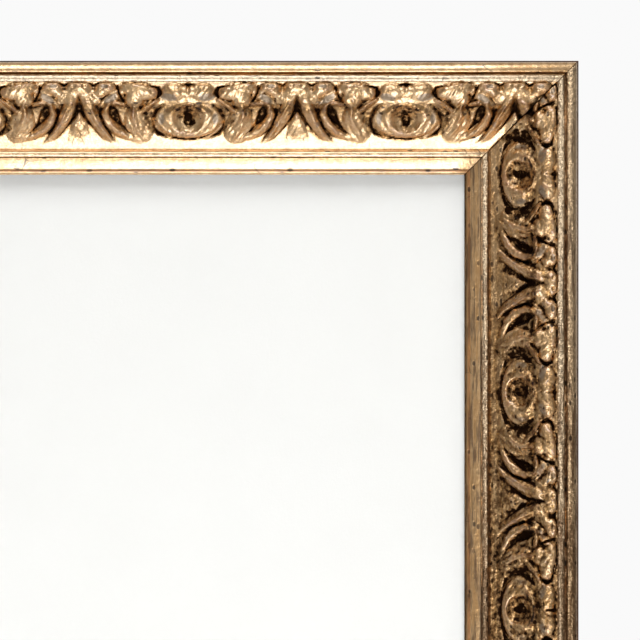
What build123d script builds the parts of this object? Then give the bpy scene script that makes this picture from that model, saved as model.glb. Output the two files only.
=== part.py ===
"""Ornate gilded wall frame for a 30 x 40 cm picture, with its glazing, board and rear hardware.

X runs to the right and Z up as the frame hangs, and -Y faces the viewer.
The wall is the plane Y = 0, and the origin lies on it, level with the hook that carries the portrait hanger.
Lengths are in millimetres.
"""

import os
from collections import namedtuple
from math import atan2, ceil, cos, floor, hypot, pi, sin

from build123d import *

# Picture pack: glass, insert sheet and backing board
picture_width = 300.0
picture_height = 400.0
glass_thickness = 2.0
insert_thickness = 0.4
board_thickness = 3.0
board_edge_chamfer = 0.6
pack_side_clearance = 1.0  # between the pack and the walls of the rabbet
pack_back_clearance = 0.1  # between the board's back and the back of the rails

# Moulding, measured from the sight edge outwards and from the back forwards
moulding_width = 40.0
lip_width = 6.0  # what the rabbet covers of the picture
lip_thickness = 3.0
sight_round_width = 1.5
sight_round_rise = 1.6
band_width = 3.7  # plain band beside the sight edge
band_rise = 0.8
band_crown = 0.25
inner_groove_width = 0.7
inner_groove_depth = 0.28
bead_width = 2.5
bead_height = 1.15
quirk_width = 0.6  # narrow flat between the bead and the ornament
quirk_drop = 0.5

# Cove and border that carry the pressed ornament
cove_rise = 9.0
cove_foot_width = 3.2  # shallow foot of the cove, left plain below the relief
cove_foot_rise = 1.1
border_width = 7.4
border_rise = 1.6
bed_depth = 3.2  # how far the flat bed lies below the ends of the cove

# Outer edge of the moulding
fillet_width = 2.0
fillet_rise = 0.6
outer_groove_width = 1.4
outer_groove_depth = 3.2
outer_bead_width = 3.5
outer_bead_height = 2.0
outer_bead_fall = 0.6
shoulder_width = 0.7
shoulder_drop = 0.7

# Repeat of the ornament and where the first eye sits along each rail, from its own first outer corner
ornament_repeat = 76.8
top_first_eye = 2.0
right_first_eye = 40.0
bottom_first_eye = 52.0
left_first_eye = 28.0
relief_root = 0.4  # how deep the relief is rooted below the ornament's ground

# Eye medallion, on the face of the cove
medallion_place = 0.1  # from the middle of the face towards the border
medallion_half_length = 12.2
medallion_half_breadth = 7.1
medallion_crest = 2.0
medallion_sides = 10
medallion_draft = 26.0
bowl_depth = 1.7
bowl_sides = 8
bowl_rim_share = 0.60  # size of the rim's outline against the medallion's
bowl_floor_share = 0.24

# Leaves, on the face of the cove: the husk below the heart lobe, and two blades of the fan
husk_centre = 18.4
husk_head_half = 1.6
husk_head_place = 6.9
husk_waist_half = 4.4
husk_waist_place = -1.2
husk_foot_place = -5.4
leaf_crest = 1.7
leaf_draft = 12.0
blade_steps = 2
blade_root_place = 6.9
blade_width = 4.0
outer_blade_root = 9.4  # from the fan's axis
outer_blade_tip = 21.4
outer_blade_tip_place = -6.8
outer_blade_bow = 3.2
inner_blade_root = 3.2
inner_blade_tip = 12.6
inner_blade_tip_place = -7.0
inner_blade_bow = 1.4

# Lobes of the scalloped border
lobe_sides = 6
lobe_rise = 3.0
lobe_draft = 28.0
eye_lobe_place = 6.3
eye_lobe_half_length = 5.2
eye_lobe_half_breadth = 3.6
heart_lobe_place = 17.6
heart_lobe_half_length = 6.0
heart_lobe_half_breadth = 3.6
side_lobe_place = 9.4  # from the fan's axis
side_lobe_half_length = 4.4
side_lobe_half_breadth = 3.6
fan_lobe_half_length = 4.9
fan_lobe_half_breadth = 3.6

# Corner V-nails, two in each mitre
v_nail_leg = 5.0
v_nail_thickness = 0.6
v_nail_height = 7.0
v_nail_inner_place = 14.0  # along the moulding's width
v_nail_outer_place = 27.0

# Turn buttons and their screws
button_thickness = 1.0
button_gap = 0.1
button_pivot_inset = 8.0  # from the wall of the rabbet
button_pivot_radius = 5.0
button_reach = 15.0
button_tip_width = 6.0
button_tip_clip = 1.4
button_bore_clearance = 0.08
button_spread = 220.0
rib_length = 6.0
rib_width = 2.4
rib_height = 0.6
rib_draft = 30.0
screw_head_radius = 3.2
screw_head_height = 1.8
screw_shank_radius = 1.5
screw_length = 9.0

# Stamped sawtooth hangers, one for each way of hanging
hanger_length = 44.0
hanger_height = 9.0
hanger_thickness = 0.8
hanger_end = 8.0  # flat end that lies on the wood
hanger_ramp = 3.0
hanger_lift = 1.7  # room for a nail behind the teeth
notch_pitch = 3.2
notch_count = 7
notch_depth = 1.8
prong_width = 4.0
prong_depth = 5.0
hook_drop = 14.0  # from the top of the frame down to the hook

# Felt pads at the lower corners
pad_width = 10.0
pad_thickness = 4.0
pad_inset = 14.0

# Sizes that follow from those above
rabbet_depth = glass_thickness + insert_thickness + board_thickness + pack_back_clearance
rabbet_half_width = picture_width / 2 + pack_side_clearance
rabbet_half_height = picture_height / 2 + pack_side_clearance
sight_half_width = rabbet_half_width - lip_width
sight_half_height = rabbet_half_height - lip_width
outer_half_width = sight_half_width + moulding_width
outer_half_height = sight_half_height + moulding_width
back_y = -pad_thickness
centre_z = hook_drop - outer_half_height

# Stations of the moulding's section: distance from the sight edge, height from the back
sight_height = rabbet_depth + lip_thickness
band_start = sight_round_width
band_end = band_start + band_width
band_height = sight_height + sight_round_rise
bead_start = band_end + inner_groove_width
bead_base = band_height + band_rise
bead_end = bead_start + bead_width
cove_start = bead_end + quirk_width
cove_base = bead_base - quirk_drop
face_start = cove_start + cove_foot_width
face_base = cove_base + cove_foot_rise
outer_bead_end = moulding_width - shoulder_width
outer_bead_start = outer_bead_end - outer_bead_width
fillet_end = outer_bead_start - outer_groove_width
border_end = fillet_end - fillet_width
cove_end = border_end - border_width
cove_top = cove_base + cove_rise
border_height = cove_top + border_rise
fillet_height = border_height + fillet_rise
outer_groove_height = fillet_height - outer_groove_depth
shoulder_height = outer_groove_height - outer_bead_fall - shoulder_drop

# Place of the fan's axis in a repeat, places on the back, and the way to the wall
fan_place = ornament_repeat / 2
wall = (0, 1, 0)
button_pivot_place = lip_width + button_pivot_inset
hanger_middle = hanger_height / 2 - notch_depth  # from the hook up to the middle of the hanger

# A rail's plane has its origin at the sight edge: y points outwards and z to the front,
# and x runs along the rail, clockwise as seen from the front
Rail = namedtuple("Rail", "name plane half_length first_eye")
front = (0, -1, 0)
rails = (
    Rail(
        "top",
        Plane(origin=(0, back_y, centre_z + sight_half_height), x_dir=(1, 0, 0), z_dir=front),
        outer_half_width,
        top_first_eye,
    ),
    Rail(
        "right",
        Plane(origin=(sight_half_width, back_y, centre_z), x_dir=(0, 0, -1), z_dir=front),
        outer_half_height,
        right_first_eye,
    ),
    Rail(
        "bottom",
        Plane(origin=(0, back_y, centre_z - sight_half_height), x_dir=(-1, 0, 0), z_dir=front),
        outer_half_width,
        bottom_first_eye,
    ),
    Rail(
        "left",
        Plane(origin=(-sight_half_width, back_y, centre_z), x_dir=(0, 0, 1), z_dir=front),
        outer_half_height,
        left_first_eye,
    ),
)


def section_plane(rail):
    """Plane across a rail: x outwards from the sight edge, y forwards from the back."""
    return Plane(origin=rail.plane.origin, x_dir=rail.plane.y_dir, z_dir=rail.plane.x_dir)


def mitre_planes(rail):
    """The two 45 degree planes that end a rail, facing away from it."""
    planes = []
    for end in (-1, 1):
        corner = rail.plane.from_local_coords(Vector(end * rail.half_length, moulding_width, 0))
        planes.append(Plane(origin=corner, z_dir=rail.plane.x_dir * end - rail.plane.y_dir))
    return planes


def middle(start, end):
    """Point halfway between two points of a section."""
    return ((start[0] + end[0]) / 2, (start[1] + end[1]) / 2)


def raised(point, amount):
    """Point of a section lifted towards the front."""
    return (point[0], point[1] + amount)


def slope_plane(low, high):
    """Plane along a rail through two points of its section, with its origin halfway between them."""
    rise = atan2(high[1] - low[1], high[0] - low[0])
    return Plane(origin=(0, *middle(low, high)), x_dir=(1, 0, 0), z_dir=(0, -sin(rise), cos(rise)))


def moulding_section():
    """Draw the wooden moulding's section."""
    back_inner = (lip_width, 0)
    sight = (0, sight_height)
    band_in = (band_start, band_height)
    band_out = (band_end, bead_base)
    bead_in = (bead_start, bead_base)
    bead_out = (bead_end, bead_base)
    quirk = (cove_start, cove_base)
    bed_in = raised(quirk, -bed_depth)
    bed_top = (cove_end, cove_top - bed_depth)
    bed_out = (border_end, cove_top - bed_depth)
    fillet_in = (border_end, fillet_height)
    fillet_out = (fillet_end, fillet_height)
    groove_out = (outer_bead_start, outer_groove_height)
    outer_bead_out = (outer_bead_end, outer_groove_height - outer_bead_fall)
    outer_bead_top = raised(middle(groove_out, outer_bead_out), outer_bead_height)
    shoulder = (moulding_width, shoulder_height)
    with BuildSketch() as section:
        with BuildLine():
            Polyline(back_inner, (lip_width, rabbet_depth), (0, rabbet_depth), sight)
            RadiusArc(sight, band_in, hypot(sight_round_width, sight_round_rise))
            ThreePointArc(band_in, raised(middle(band_in, band_out), band_crown), band_out)
            Polyline(band_out, raised(middle(band_out, bead_in), -inner_groove_depth), bead_in)
            ThreePointArc(bead_in, raised(middle(bead_in, bead_out), bead_height), bead_out)
            Polyline(bead_out, quirk, bed_in, bed_top, bed_out, fillet_in)
            Polyline(fillet_in, fillet_out, groove_out)
            ThreePointArc(groove_out, outer_bead_top, outer_bead_out)
            Polyline(outer_bead_out, shoulder, (moulding_width, 0), back_inner)
        make_face()
    return section.sketch


def ornament_strip_section():
    """The ornament strip below its relief, seated on the flat bed."""
    with BuildSketch() as section:
        with BuildLine():
            Polyline(
                (cove_start, cove_base),
                (face_start, face_base),
                (cove_end, cove_top),
                (border_end, border_height),
                (border_end, cove_top - bed_depth),
                (cove_end, cove_top - bed_depth),
                (cove_start, cove_base - bed_depth),
                close=True,
            )
        make_face()
    return section.sketch


def medallion_outline(share, sides):
    """Outline of the medallion or of its bowl, as a share of the medallion's foot."""
    return oval_outline(0, medallion_half_length * share, medallion_half_breadth * share, sides)


def oval_outline(place, half_length, half_breadth, sides):
    """Faceted oval with a given number of sides, its centre on the sketch's x axis."""
    turns = [2 * pi * corner / sides + pi / 2 for corner in range(sides)]
    corners = [(place + half_length * cos(turn), half_breadth * sin(turn)) for turn in turns]
    with BuildSketch() as oval:
        with BuildLine():
            Polyline(*corners, close=True)
        make_face()
    return oval.sketch


def blade_outline(root, tip, tip_place, bow):
    """Leaf blade from its root beside the fan's axis to its tip, bowed on the side of the fan."""
    root_inner = (fan_place - root, blade_root_place)
    root_outer = (fan_place - root - blade_width, blade_root_place)
    point = (fan_place - tip, tip_place)
    bowed = []
    for step in range(1, blade_steps):
        share = step / blade_steps
        swell = 4 * bow * share * (1 - share)
        along = point[0] + (root_inner[0] - point[0]) * share
        across = point[1] + (root_inner[1] - point[1]) * share
        bowed.append((along + swell, across - swell))
    with BuildSketch() as blade:
        with BuildLine():
            Polyline(root_outer, point, *bowed, root_inner, close=True)
        make_face()
    return blade.sketch


def husk_outline():
    """Husk that drops from the heart lobe and flares towards the sight edge."""
    with BuildSketch() as husk:
        with BuildLine():
            Polyline(
                (husk_centre + husk_head_half, husk_head_place),
                (husk_centre - husk_head_half, husk_head_place),
                (husk_centre - husk_waist_half, husk_waist_place),
                (husk_centre, husk_foot_place),
                (husk_centre + husk_waist_half, husk_waist_place),
                close=True,
            )
        make_face()
    return husk.sketch


def build_ornament_repeat():
    """One repeat of the pressed ornament about its eye: x along the rail, y outwards, z to the front."""
    face = slope_plane((face_start, face_base), (cove_end, cove_top))
    border = slope_plane((cove_end, cove_top), (border_end, border_height))
    eye = Plane(
        origin=face.from_local_coords(Vector(0, medallion_place, 0)),
        x_dir=face.x_dir,
        z_dir=face.z_dir,
    )
    leaf_outlines = (
        husk_outline(),
        blade_outline(outer_blade_root, outer_blade_tip, outer_blade_tip_place, outer_blade_bow),
        blade_outline(inner_blade_root, inner_blade_tip, inner_blade_tip_place, inner_blade_bow),
    )
    lobe_outlines = (
        oval_outline(eye_lobe_place, eye_lobe_half_length, eye_lobe_half_breadth, lobe_sides),
        oval_outline(heart_lobe_place, heart_lobe_half_length, heart_lobe_half_breadth, lobe_sides),
        oval_outline(fan_place - side_lobe_place, side_lobe_half_length, side_lobe_half_breadth, lobe_sides),
    )
    with BuildPart() as repeat:
        with BuildSketch(Plane.YZ):
            add(ornament_strip_section())
        extrude(amount=ornament_repeat / 2, both=True)

        # Medallion: a raised oval with a bowl sunk from its crest
        with BuildSketch(eye.offset(-relief_root)):
            add(medallion_outline(1, medallion_sides))
        extrude(amount=relief_root + medallion_crest, taper=medallion_draft)
        with BuildSketch(eye.offset(medallion_crest - bowl_depth)):
            add(medallion_outline(bowl_floor_share, bowl_sides))
        with BuildSketch(eye.offset(medallion_crest)):
            add(medallion_outline(bowl_rim_share, bowl_sides))
        loft(ruled=True, mode=Mode.SUBTRACT)

        # Husks and fan blades, mirrored about the eye's axis
        for outline in leaf_outlines:
            with BuildSketch(face.offset(-relief_root)):
                add(outline)
                mirror(about=Plane.YZ)
            extrude(amount=relief_root + leaf_crest, taper=leaf_draft)

        # Lobes of the border, mirrored too but for the one on the fan's axis, which two repeats share
        with BuildSketch(border.offset(-relief_root)):
            for outline in lobe_outlines:
                add(outline)
            mirror(about=Plane.YZ)
            add(oval_outline(fan_place, fan_lobe_half_length, fan_lobe_half_breadth, lobe_sides))
        extrude(amount=relief_root + lobe_rise, taper=lobe_draft)
    return repeat.part


def build_ornament(rail, repeat):
    """The ornament strip of one rail: the repeat set out from its first eye and cut at the mitres."""
    first = floor((ornament_repeat / 2 - rail.first_eye) / ornament_repeat)
    last = ceil((2 * rail.half_length - rail.first_eye) / ornament_repeat)
    eyes = [rail.first_eye - rail.half_length + ornament_repeat * count for count in range(first, last + 1)]
    with BuildPart() as strip:
        with Locations(*[rail.plane.location * Pos(eye, 0, 0) for eye in eyes]):
            add(repeat)
        for plane in mitre_planes(rail):
            split(bisect_by=plane, keep=Keep.BOTTOM)
    strip.part.label = f"{rail.name}_ornament"
    return strip.part


def build_rail(rail, sunk):
    """One wooden rail with its rabbet, mitred ends, and slots and pilot holes for what is driven into it."""
    with BuildPart() as body:
        with BuildSketch(section_plane(rail)):
            add(moulding_section())
        extrude(amount=rail.half_length, both=True)
        for plane in mitre_planes(rail):
            split(bisect_by=plane, keep=Keep.BOTTOM)
        for piece in sunk:
            add(piece, mode=Mode.SUBTRACT)
    body.part.label = f"{rail.name}_rail"
    return body.part


def build_v_nails():
    """All corner V-nails: two in each mitre, driven flush into the back."""
    mitre_back = Plane(origin=(0, back_y, centre_z), x_dir=(1, 0, 0), z_dir=front)
    with BuildPart() as nails:
        with BuildSketch(mitre_back):
            for side in (-1, 1):
                for level in (-1, 1):
                    for place in (v_nail_inner_place, v_nail_outer_place):
                        apex_x = side * (sight_half_width + place)
                        apex_z = level * (sight_half_height + place)
                        with BuildLine():
                            Polyline(
                                (apex_x, apex_z),
                                (apex_x - side * v_nail_leg, apex_z),
                                (apex_x - side * v_nail_leg, apex_z - level * v_nail_thickness),
                                (apex_x - side * v_nail_thickness, apex_z - level * v_nail_thickness),
                                (apex_x - side * v_nail_thickness, apex_z - level * v_nail_leg),
                                (apex_x, apex_z - level * v_nail_leg),
                                close=True,
                            )
                        make_face()
        extrude(amount=v_nail_height)
    nails.part.label = "v_nails"
    return nails.part


def build_sheet(label, front_depth, thickness, chamfered):
    """A sheet of the picture pack, whose front lies at a depth from the back of the rails."""
    front_plane = Plane(origin=(0, back_y - front_depth, centre_z), x_dir=(-1, 0, 0), z_dir=wall)
    with BuildPart() as sheet:
        with BuildSketch(front_plane):
            Rectangle(picture_width, picture_height)
        extrude(amount=thickness)
        if chamfered:
            chamfer(sheet.faces().sort_by(Axis.Y)[-1].edges(), board_edge_chamfer)
    sheet.part.label = label
    return sheet.part


def build_screw(seat):
    """A pan-head screw, head resting on a seat plane that faces the wall, shank into the wood."""
    with BuildPart() as screw:
        with BuildSketch(seat):
            Circle(screw_head_radius)
        extrude(amount=screw_head_height)
        with BuildSketch(seat):
            Circle(screw_shank_radius)
        extrude(amount=-screw_length)
    return screw.part


def build_screws(label, seats):
    """A set of equal screws, each on its own seat."""
    with BuildPart() as screws:
        for seat in seats:
            add(build_screw(seat))
    screws.part.label = label
    return screws.part


def button_planes():
    """Pivots of the turn buttons on the rails' back: x points over the board, z to the wall."""
    planes = {}
    for name, side in (("left", -1), ("right", 1)):
        for level_name, level in (("upper", 1), ("lower", -1)):
            place = side * (sight_half_width + button_pivot_place)
            pivot = (place, back_y, centre_z + level * button_spread / 2)
            planes[f"turn_button_{name}_{level_name}"] = Plane(origin=pivot, x_dir=(-side, 0, 0), z_dir=wall)
    return planes


def build_turn_button(label, pivot):
    """A stamped turn button with a stiffening rib, free to turn on its screw."""
    tip_half = button_tip_width / 2
    with BuildPart() as button:
        with BuildSketch(pivot.offset(button_gap)):
            with BuildLine():
                ThreePointArc((0, button_pivot_radius), (-button_pivot_radius, 0), (0, -button_pivot_radius))
                Polyline(
                    (0, -button_pivot_radius),
                    (button_reach - button_tip_clip, -tip_half),
                    (button_reach, button_tip_clip - tip_half),
                    (button_reach, tip_half - button_tip_clip),
                    (button_reach - button_tip_clip, tip_half),
                    (0, button_pivot_radius),
                )
            make_face()
            Circle(screw_shank_radius + button_bore_clearance, mode=Mode.SUBTRACT)
        extrude(amount=button_thickness)
        with BuildSketch(pivot.offset(button_gap + button_thickness)):
            with Locations((button_reach - button_tip_clip - rib_length / 2, 0)):
                Rectangle(rib_length, rib_width)
        extrude(amount=rib_height, taper=rib_draft)
    button.part.label = label
    return button.part


def hanger_planes():
    """Middle of each hanger on the rails' back: x along the rail, y outwards, z to the wall."""
    reach = hook_drop - hanger_middle
    portrait = (0, back_y, centre_z + outer_half_height - reach)
    landscape = (outer_half_width - reach, back_y, centre_z)
    return {
        "hanger_portrait": Plane(origin=portrait, x_dir=(-1, 0, 0), z_dir=wall),
        "hanger_landscape": Plane(origin=landscape, x_dir=(0, 0, 1), z_dir=wall),
    }


def build_hanger(label, seat):
    """A stamped sawtooth hanger: bridged strip with notches along its inner edge and a prong at each end."""
    half = hanger_length / 2
    bend = half - hanger_end
    bridge = bend - hanger_ramp
    lift_top = hanger_lift + hanger_thickness
    notch_side = hypot(notch_pitch / 2, notch_depth)
    side = Plane(origin=seat.origin, x_dir=seat.x_dir, z_dir=seat.y_dir * -1)
    with BuildPart() as hanger:
        with BuildSketch(side):
            with BuildLine():
                Polyline(
                    (0, hanger_lift),
                    (bridge, hanger_lift),
                    (bend, 0),
                    (half, 0),
                    (half, hanger_thickness),
                    (bend, hanger_thickness),
                    (bridge, lift_top),
                    (0, lift_top),
                    close=True,
                )
            make_face()
            mirror(about=Plane.YZ)
        extrude(amount=hanger_height / 2, both=True)
        with BuildSketch(seat.offset(hanger_lift)):
            with Locations((0, -hanger_height / 2)):
                with GridLocations(notch_pitch, notch_depth, notch_count, 1):
                    Triangle(c=notch_pitch, a=notch_side, b=notch_side)
        extrude(amount=hanger_thickness, mode=Mode.SUBTRACT)
        for end in (-1, 1):
            root = seat.from_local_coords(Vector(end * (half - hanger_thickness / 2), 0, 0))
            with BuildSketch(Plane(origin=root, x_dir=seat.y_dir, z_dir=seat.x_dir)):
                with BuildLine():
                    Polyline((-prong_width / 2, 0), (prong_width / 2, 0), (0, -prong_depth), close=True)
                make_face()
            extrude(amount=hanger_thickness / 2, both=True)
    hanger.part.label = label
    return hanger.part


def build_wall_pads():
    """Two felt pads between the lower corners and the wall."""
    with BuildPart() as pads:
        with BuildSketch(Plane(origin=(0, back_y, centre_z), x_dir=(-1, 0, 0), z_dir=wall)):
            for side in (-1, 1):
                with Locations((side * (outer_half_width - pad_inset), pad_inset - outer_half_height)):
                    Rectangle(pad_width, pad_width)
        extrude(amount=pad_thickness)
    pads.part.label = "wall_pads"
    return pads.part


def build_all():
    """Build every sub-part in the frame's own axes."""
    v_nails = build_v_nails()
    pivots = button_planes()
    button_seat = 2 * button_gap + button_thickness
    button_screws = build_screws("button_screws", [pivot.offset(button_seat) for pivot in pivots.values()])
    hangers = [build_hanger(name, seat) for name, seat in hanger_planes().items()]
    repeat = build_ornament_repeat()

    parts = []
    for rail in rails:
        parts.append(build_rail(rail, [v_nails, button_screws, *hangers]))
        parts.append(build_ornament(rail, repeat))
    parts.append(v_nails)
    insert_front = rabbet_depth - glass_thickness
    parts.append(build_sheet("glass_pane", rabbet_depth, glass_thickness, False))
    parts.append(build_sheet("insert_sheet", insert_front, insert_thickness, False))
    parts.append(build_sheet("backing_board", insert_front - insert_thickness, board_thickness, True))
    for name, pivot in pivots.items():
        parts.append(build_turn_button(name, pivot))
    parts.append(button_screws)
    parts.extend(hangers)
    parts.append(build_wall_pads())
    return parts


os.makedirs("parts", exist_ok=True)
for part in build_all():
    export_step(part, f"parts/{part.label}.step")
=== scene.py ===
"""Ornate gilded wall frame: dressed mouldings, pressed ornament, picture pack, rear hardware and studio."""

import logging
import math
from collections.abc import Iterable, Mapping
from dataclasses import dataclass, field, replace
from enum import Enum
from typing import Any

import bmesh
import bpy
import numpy as np
from mathutils import Matrix, Vector, noise


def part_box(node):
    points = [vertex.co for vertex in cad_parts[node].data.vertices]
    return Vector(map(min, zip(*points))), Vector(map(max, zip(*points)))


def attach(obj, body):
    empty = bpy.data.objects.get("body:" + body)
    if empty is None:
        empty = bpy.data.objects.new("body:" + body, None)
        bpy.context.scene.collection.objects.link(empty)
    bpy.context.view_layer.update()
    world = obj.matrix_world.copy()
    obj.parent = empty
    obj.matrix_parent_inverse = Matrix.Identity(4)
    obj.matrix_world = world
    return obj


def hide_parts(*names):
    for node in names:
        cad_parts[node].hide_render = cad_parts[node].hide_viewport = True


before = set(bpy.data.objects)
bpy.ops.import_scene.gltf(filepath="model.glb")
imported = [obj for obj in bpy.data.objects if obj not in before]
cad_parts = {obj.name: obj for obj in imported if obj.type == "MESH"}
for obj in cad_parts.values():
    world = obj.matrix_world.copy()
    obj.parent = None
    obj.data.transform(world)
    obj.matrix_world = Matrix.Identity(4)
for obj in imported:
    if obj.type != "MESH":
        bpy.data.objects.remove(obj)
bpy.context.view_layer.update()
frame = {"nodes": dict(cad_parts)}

Point = tuple[float, float]
Triple = tuple[float, float, float]
Colour = tuple[float, float, float, float]
Knot = tuple[float, float, float, float]  # along, across, half width and height
Inputs = Mapping[str | int, Any]  # values or links of a node's sockets

log = logging.getLogger("gilded_frame")

MM = 0.001  # metres in a millimetre
BODY = "frame"
RECESS = "recess"  # attribute: toning in the hollows together with painted shade, 0 to 1
WEAR = "wear"  # attribute: how far the leaf is rubbed down to its bole, 0 to 1
THIN = "thin"  # attribute: how much of the clay shows through the leaf, 0 to 1
SANDY = "sandy"  # attribute: how gritty the leaf is, which also sets its painted highlight, 0 to 1
EVEN: Triple = (1.0, 1.0, 1.0)


class Side(Enum):
    """The four rails, clockwise as seen from the front."""

    TOP = "top"
    RIGHT = "right"
    BOTTOM = "bottom"
    LEFT = "left"


class Grain(Enum):
    """World axis that a rail's length follows."""

    ACROSS = "across"
    UPRIGHT = "upright"

    def pick(self, across: Any, upright: Any) -> Any:
        """The value for a rail that runs this way."""
        return across if self is Grain.ACROSS else upright

    def stretch(self, along: float, beside: float) -> Triple:
        """Scale of a pattern along the rail and beside it."""
        return self.pick((along, beside, beside), (beside, beside, along))


class Layer(Enum):
    """Finishes on a moulding, in the order of its material slots."""

    GILT = 0
    UMBER = 1
    BARE = 2


# Shader helpers


class Wire:
    """A float socket that takes part in Python expressions; each operation adds a Math node."""

    def __init__(self, book: "NodeBook", socket: bpy.types.NodeSocket) -> None:
        """Keep the socket and the book that adds nodes to its tree."""
        self.book = book
        self.socket = socket

    def _math(self, operation: str, first: Any, second: Any = 0.0, clamp: bool = False) -> "Wire":
        """Add one Math node.

        Args:
            operation: The node's operation.
            first: First operand, a wire or a number.
            second: Second operand, where the operation has one.
            clamp: Whether the result is held between 0 and 1.

        Returns:
            The result.
        """
        made = self.book.make("ShaderNodeMath", {0: first, 1: second}, operation=operation, use_clamp=clamp)
        return Wire(self.book, made.outputs[0])

    def __add__(self, other: Any) -> "Wire":
        """This value plus another."""
        return self._math("ADD", self, other)

    def __radd__(self, other: Any) -> "Wire":
        """Another value plus this."""
        return self._math("ADD", other, self)

    def __sub__(self, other: Any) -> "Wire":
        """This value less another."""
        return self._math("SUBTRACT", self, other)

    def __rsub__(self, other: Any) -> "Wire":
        """Another value less this."""
        return self._math("SUBTRACT", other, self)

    def __mul__(self, other: Any) -> "Wire":
        """This value times another."""
        return self._math("MULTIPLY", self, other)

    def most(self, other: Any) -> "Wire":
        """The larger of this value and another."""
        return self._math("MAXIMUM", self, other)

    def size(self) -> "Wire":
        """This value without its sign."""
        return self._math("ABSOLUTE", self)

    def sine(self) -> "Wire":
        """Sine of this value, in radians."""
        return self._math("SINE", self)

    def held(self) -> "Wire":
        """This value held between 0 and 1."""
        return self._math("ADD", self, clamp=True)

    def step(self, low: float, high: float) -> "Wire":
        """Smooth step of this value.

        Args:
            low: Where the result is 0.
            high: Where the result is 1; it may lie below low.

        Returns:
            The stepped value.
        """
        inputs = {0: self, 1: min(low, high), 2: max(low, high), 3: float(low > high), 4: float(low <= high)}
        made = self.book.make("ShaderNodeMapRange", inputs, interpolation_type="SMOOTHSTEP", clamp=True)
        return Wire(self.book, made.outputs[0])


class NodeBook:
    """Adds nodes to one node tree."""

    def __init__(self, tree: bpy.types.NodeTree) -> None:
        """Empty the tree and start a fresh page."""
        self.tree = tree
        self.tree.nodes.clear()

    def make(self, kind: str, inputs: Inputs | None = None, **settings: Any) -> bpy.types.Node:
        """Add any node.

        Args:
            kind: The node's type.
            inputs: Values or links of its sockets, by name or number.
            settings: Properties, set first.

        Returns:
            The node.
        """
        made = self.tree.nodes.new(kind)
        for name, value in settings.items():
            setattr(made, name, value)
        for key, value in (inputs or {}).items():
            source = value.socket if isinstance(value, Wire) else value
            if isinstance(source, bpy.types.NodeSocket):
                self.tree.links.new(source, made.inputs[key])
            else:
                made.inputs[key].default_value = source
        return made

    def place(self, scale: Triple) -> bpy.types.NodeSocket:
        """Object coordinates.

        Args:
            scale: Factor along each axis.

        Returns:
            The coordinates' socket.
        """
        source = self.make("ShaderNodeTexCoord").outputs["Object"]
        if scale == EVEN:
            return source
        return self.make("ShaderNodeMapping", {"Vector": source, "Scale": scale}).outputs[0]

    def mask(self, name: str) -> Wire:
        """A float attribute of the mesh."""
        return Wire(self, self.make("ShaderNodeAttribute", attribute_name=name).outputs["Fac"])

    def noise(self, scale: float, detail: float = 2.0, rough: float = 0.5, stretch: Triple = EVEN) -> Wire:
        """Cloudy noise.

        Args:
            scale: Lumps in a metre, roughly.
            detail: Octaves.
            rough: Strength of the finer octaves.
            stretch: Factor of the coordinates along each axis.

        Returns:
            A value about 0.5.
        """
        inputs = {"Vector": self.place(stretch), "Scale": scale, "Detail": detail, "Roughness": rough}
        return Wire(self, self.make("ShaderNodeTexNoise", inputs).outputs[0])

    def cells(self, scale: float, stretch: Triple = EVEN) -> tuple[Wire, Wire]:
        """Cell pattern.

        Args:
            scale: Cells in a metre, roughly.
            stretch: Factor of the coordinates along each axis.

        Returns:
            The distance from a cell's middle, and a random number for each cell.
        """
        made = self.make("ShaderNodeTexVoronoi", {"Vector": self.place(stretch), "Scale": scale})
        split = self.make("ShaderNodeSeparateColor", {0: made.outputs["Color"]})
        return Wire(self, made.outputs["Distance"]), Wire(self, split.outputs[0])

    def seams(self, scale: float) -> Wire:
        """Seams between cells.

        Args:
            scale: Cells in a metre, roughly.

        Returns:
            The distance from the nearest seam.
        """
        inputs = {"Vector": self.place(EVEN), "Scale": scale}
        made = self.make("ShaderNodeTexVoronoi", inputs, feature="DISTANCE_TO_EDGE")
        return Wire(self, made.outputs["Distance"])

    def tint(self, amount: Any, first: Any, second: Any) -> bpy.types.NodeSocket:
        """Blend two colours.

        Args:
            amount: Share of the second colour.
            first: First colour or socket.
            second: Second colour or socket.

        Returns:
            The colour socket.
        """
        return self.make("ShaderNodeMix", {0: amount, 6: first, 7: second}, data_type="RGBA").outputs[2]

    def bump(self, height: Wire, depth: float) -> bpy.types.NodeSocket:
        """Normal from a height, with the metres that a height of 1 stands for."""
        return self.make("ShaderNodeBump", {"Height": height, "Distance": depth}).outputs[0]

    def close(self, shader: bpy.types.Node) -> None:
        """Link the finished shader to the output."""
        self.make("ShaderNodeOutputMaterial", {"Surface": shader.outputs[0]})

    def surface(self, inputs: Inputs) -> None:
        """Close the tree with one Principled shader."""
        self.close(self.make("ShaderNodeBsdfPrincipled", inputs))


def rgb(red: float, green: float, blue: float) -> Colour:
    """Opaque linear colour."""
    return (red, green, blue, 1.0)


# Finishes: scales are lumps or cells in a metre, bump depths are metres


@dataclass(frozen=True)
class Finish:
    """A finish by name; each kind lays its own nodes."""

    name: str
    grain: Grain | None = field(default=None, kw_only=True)  # the rail's axis, where the finish follows it

    def build(self) -> bpy.types.Material:
        """Make the material, with the grain in its name where there is one.

        Returns:
            The material.
        """
        material = bpy.data.materials.new(f"{self.name}_{self.grain.value}" if self.grain else self.name)
        material.use_nodes = True
        self.lay(NodeBook(material.node_tree))
        return material

    def lay(self, book: NodeBook) -> None:
        """Add the finish's nodes."""
        raise NotImplementedError


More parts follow.
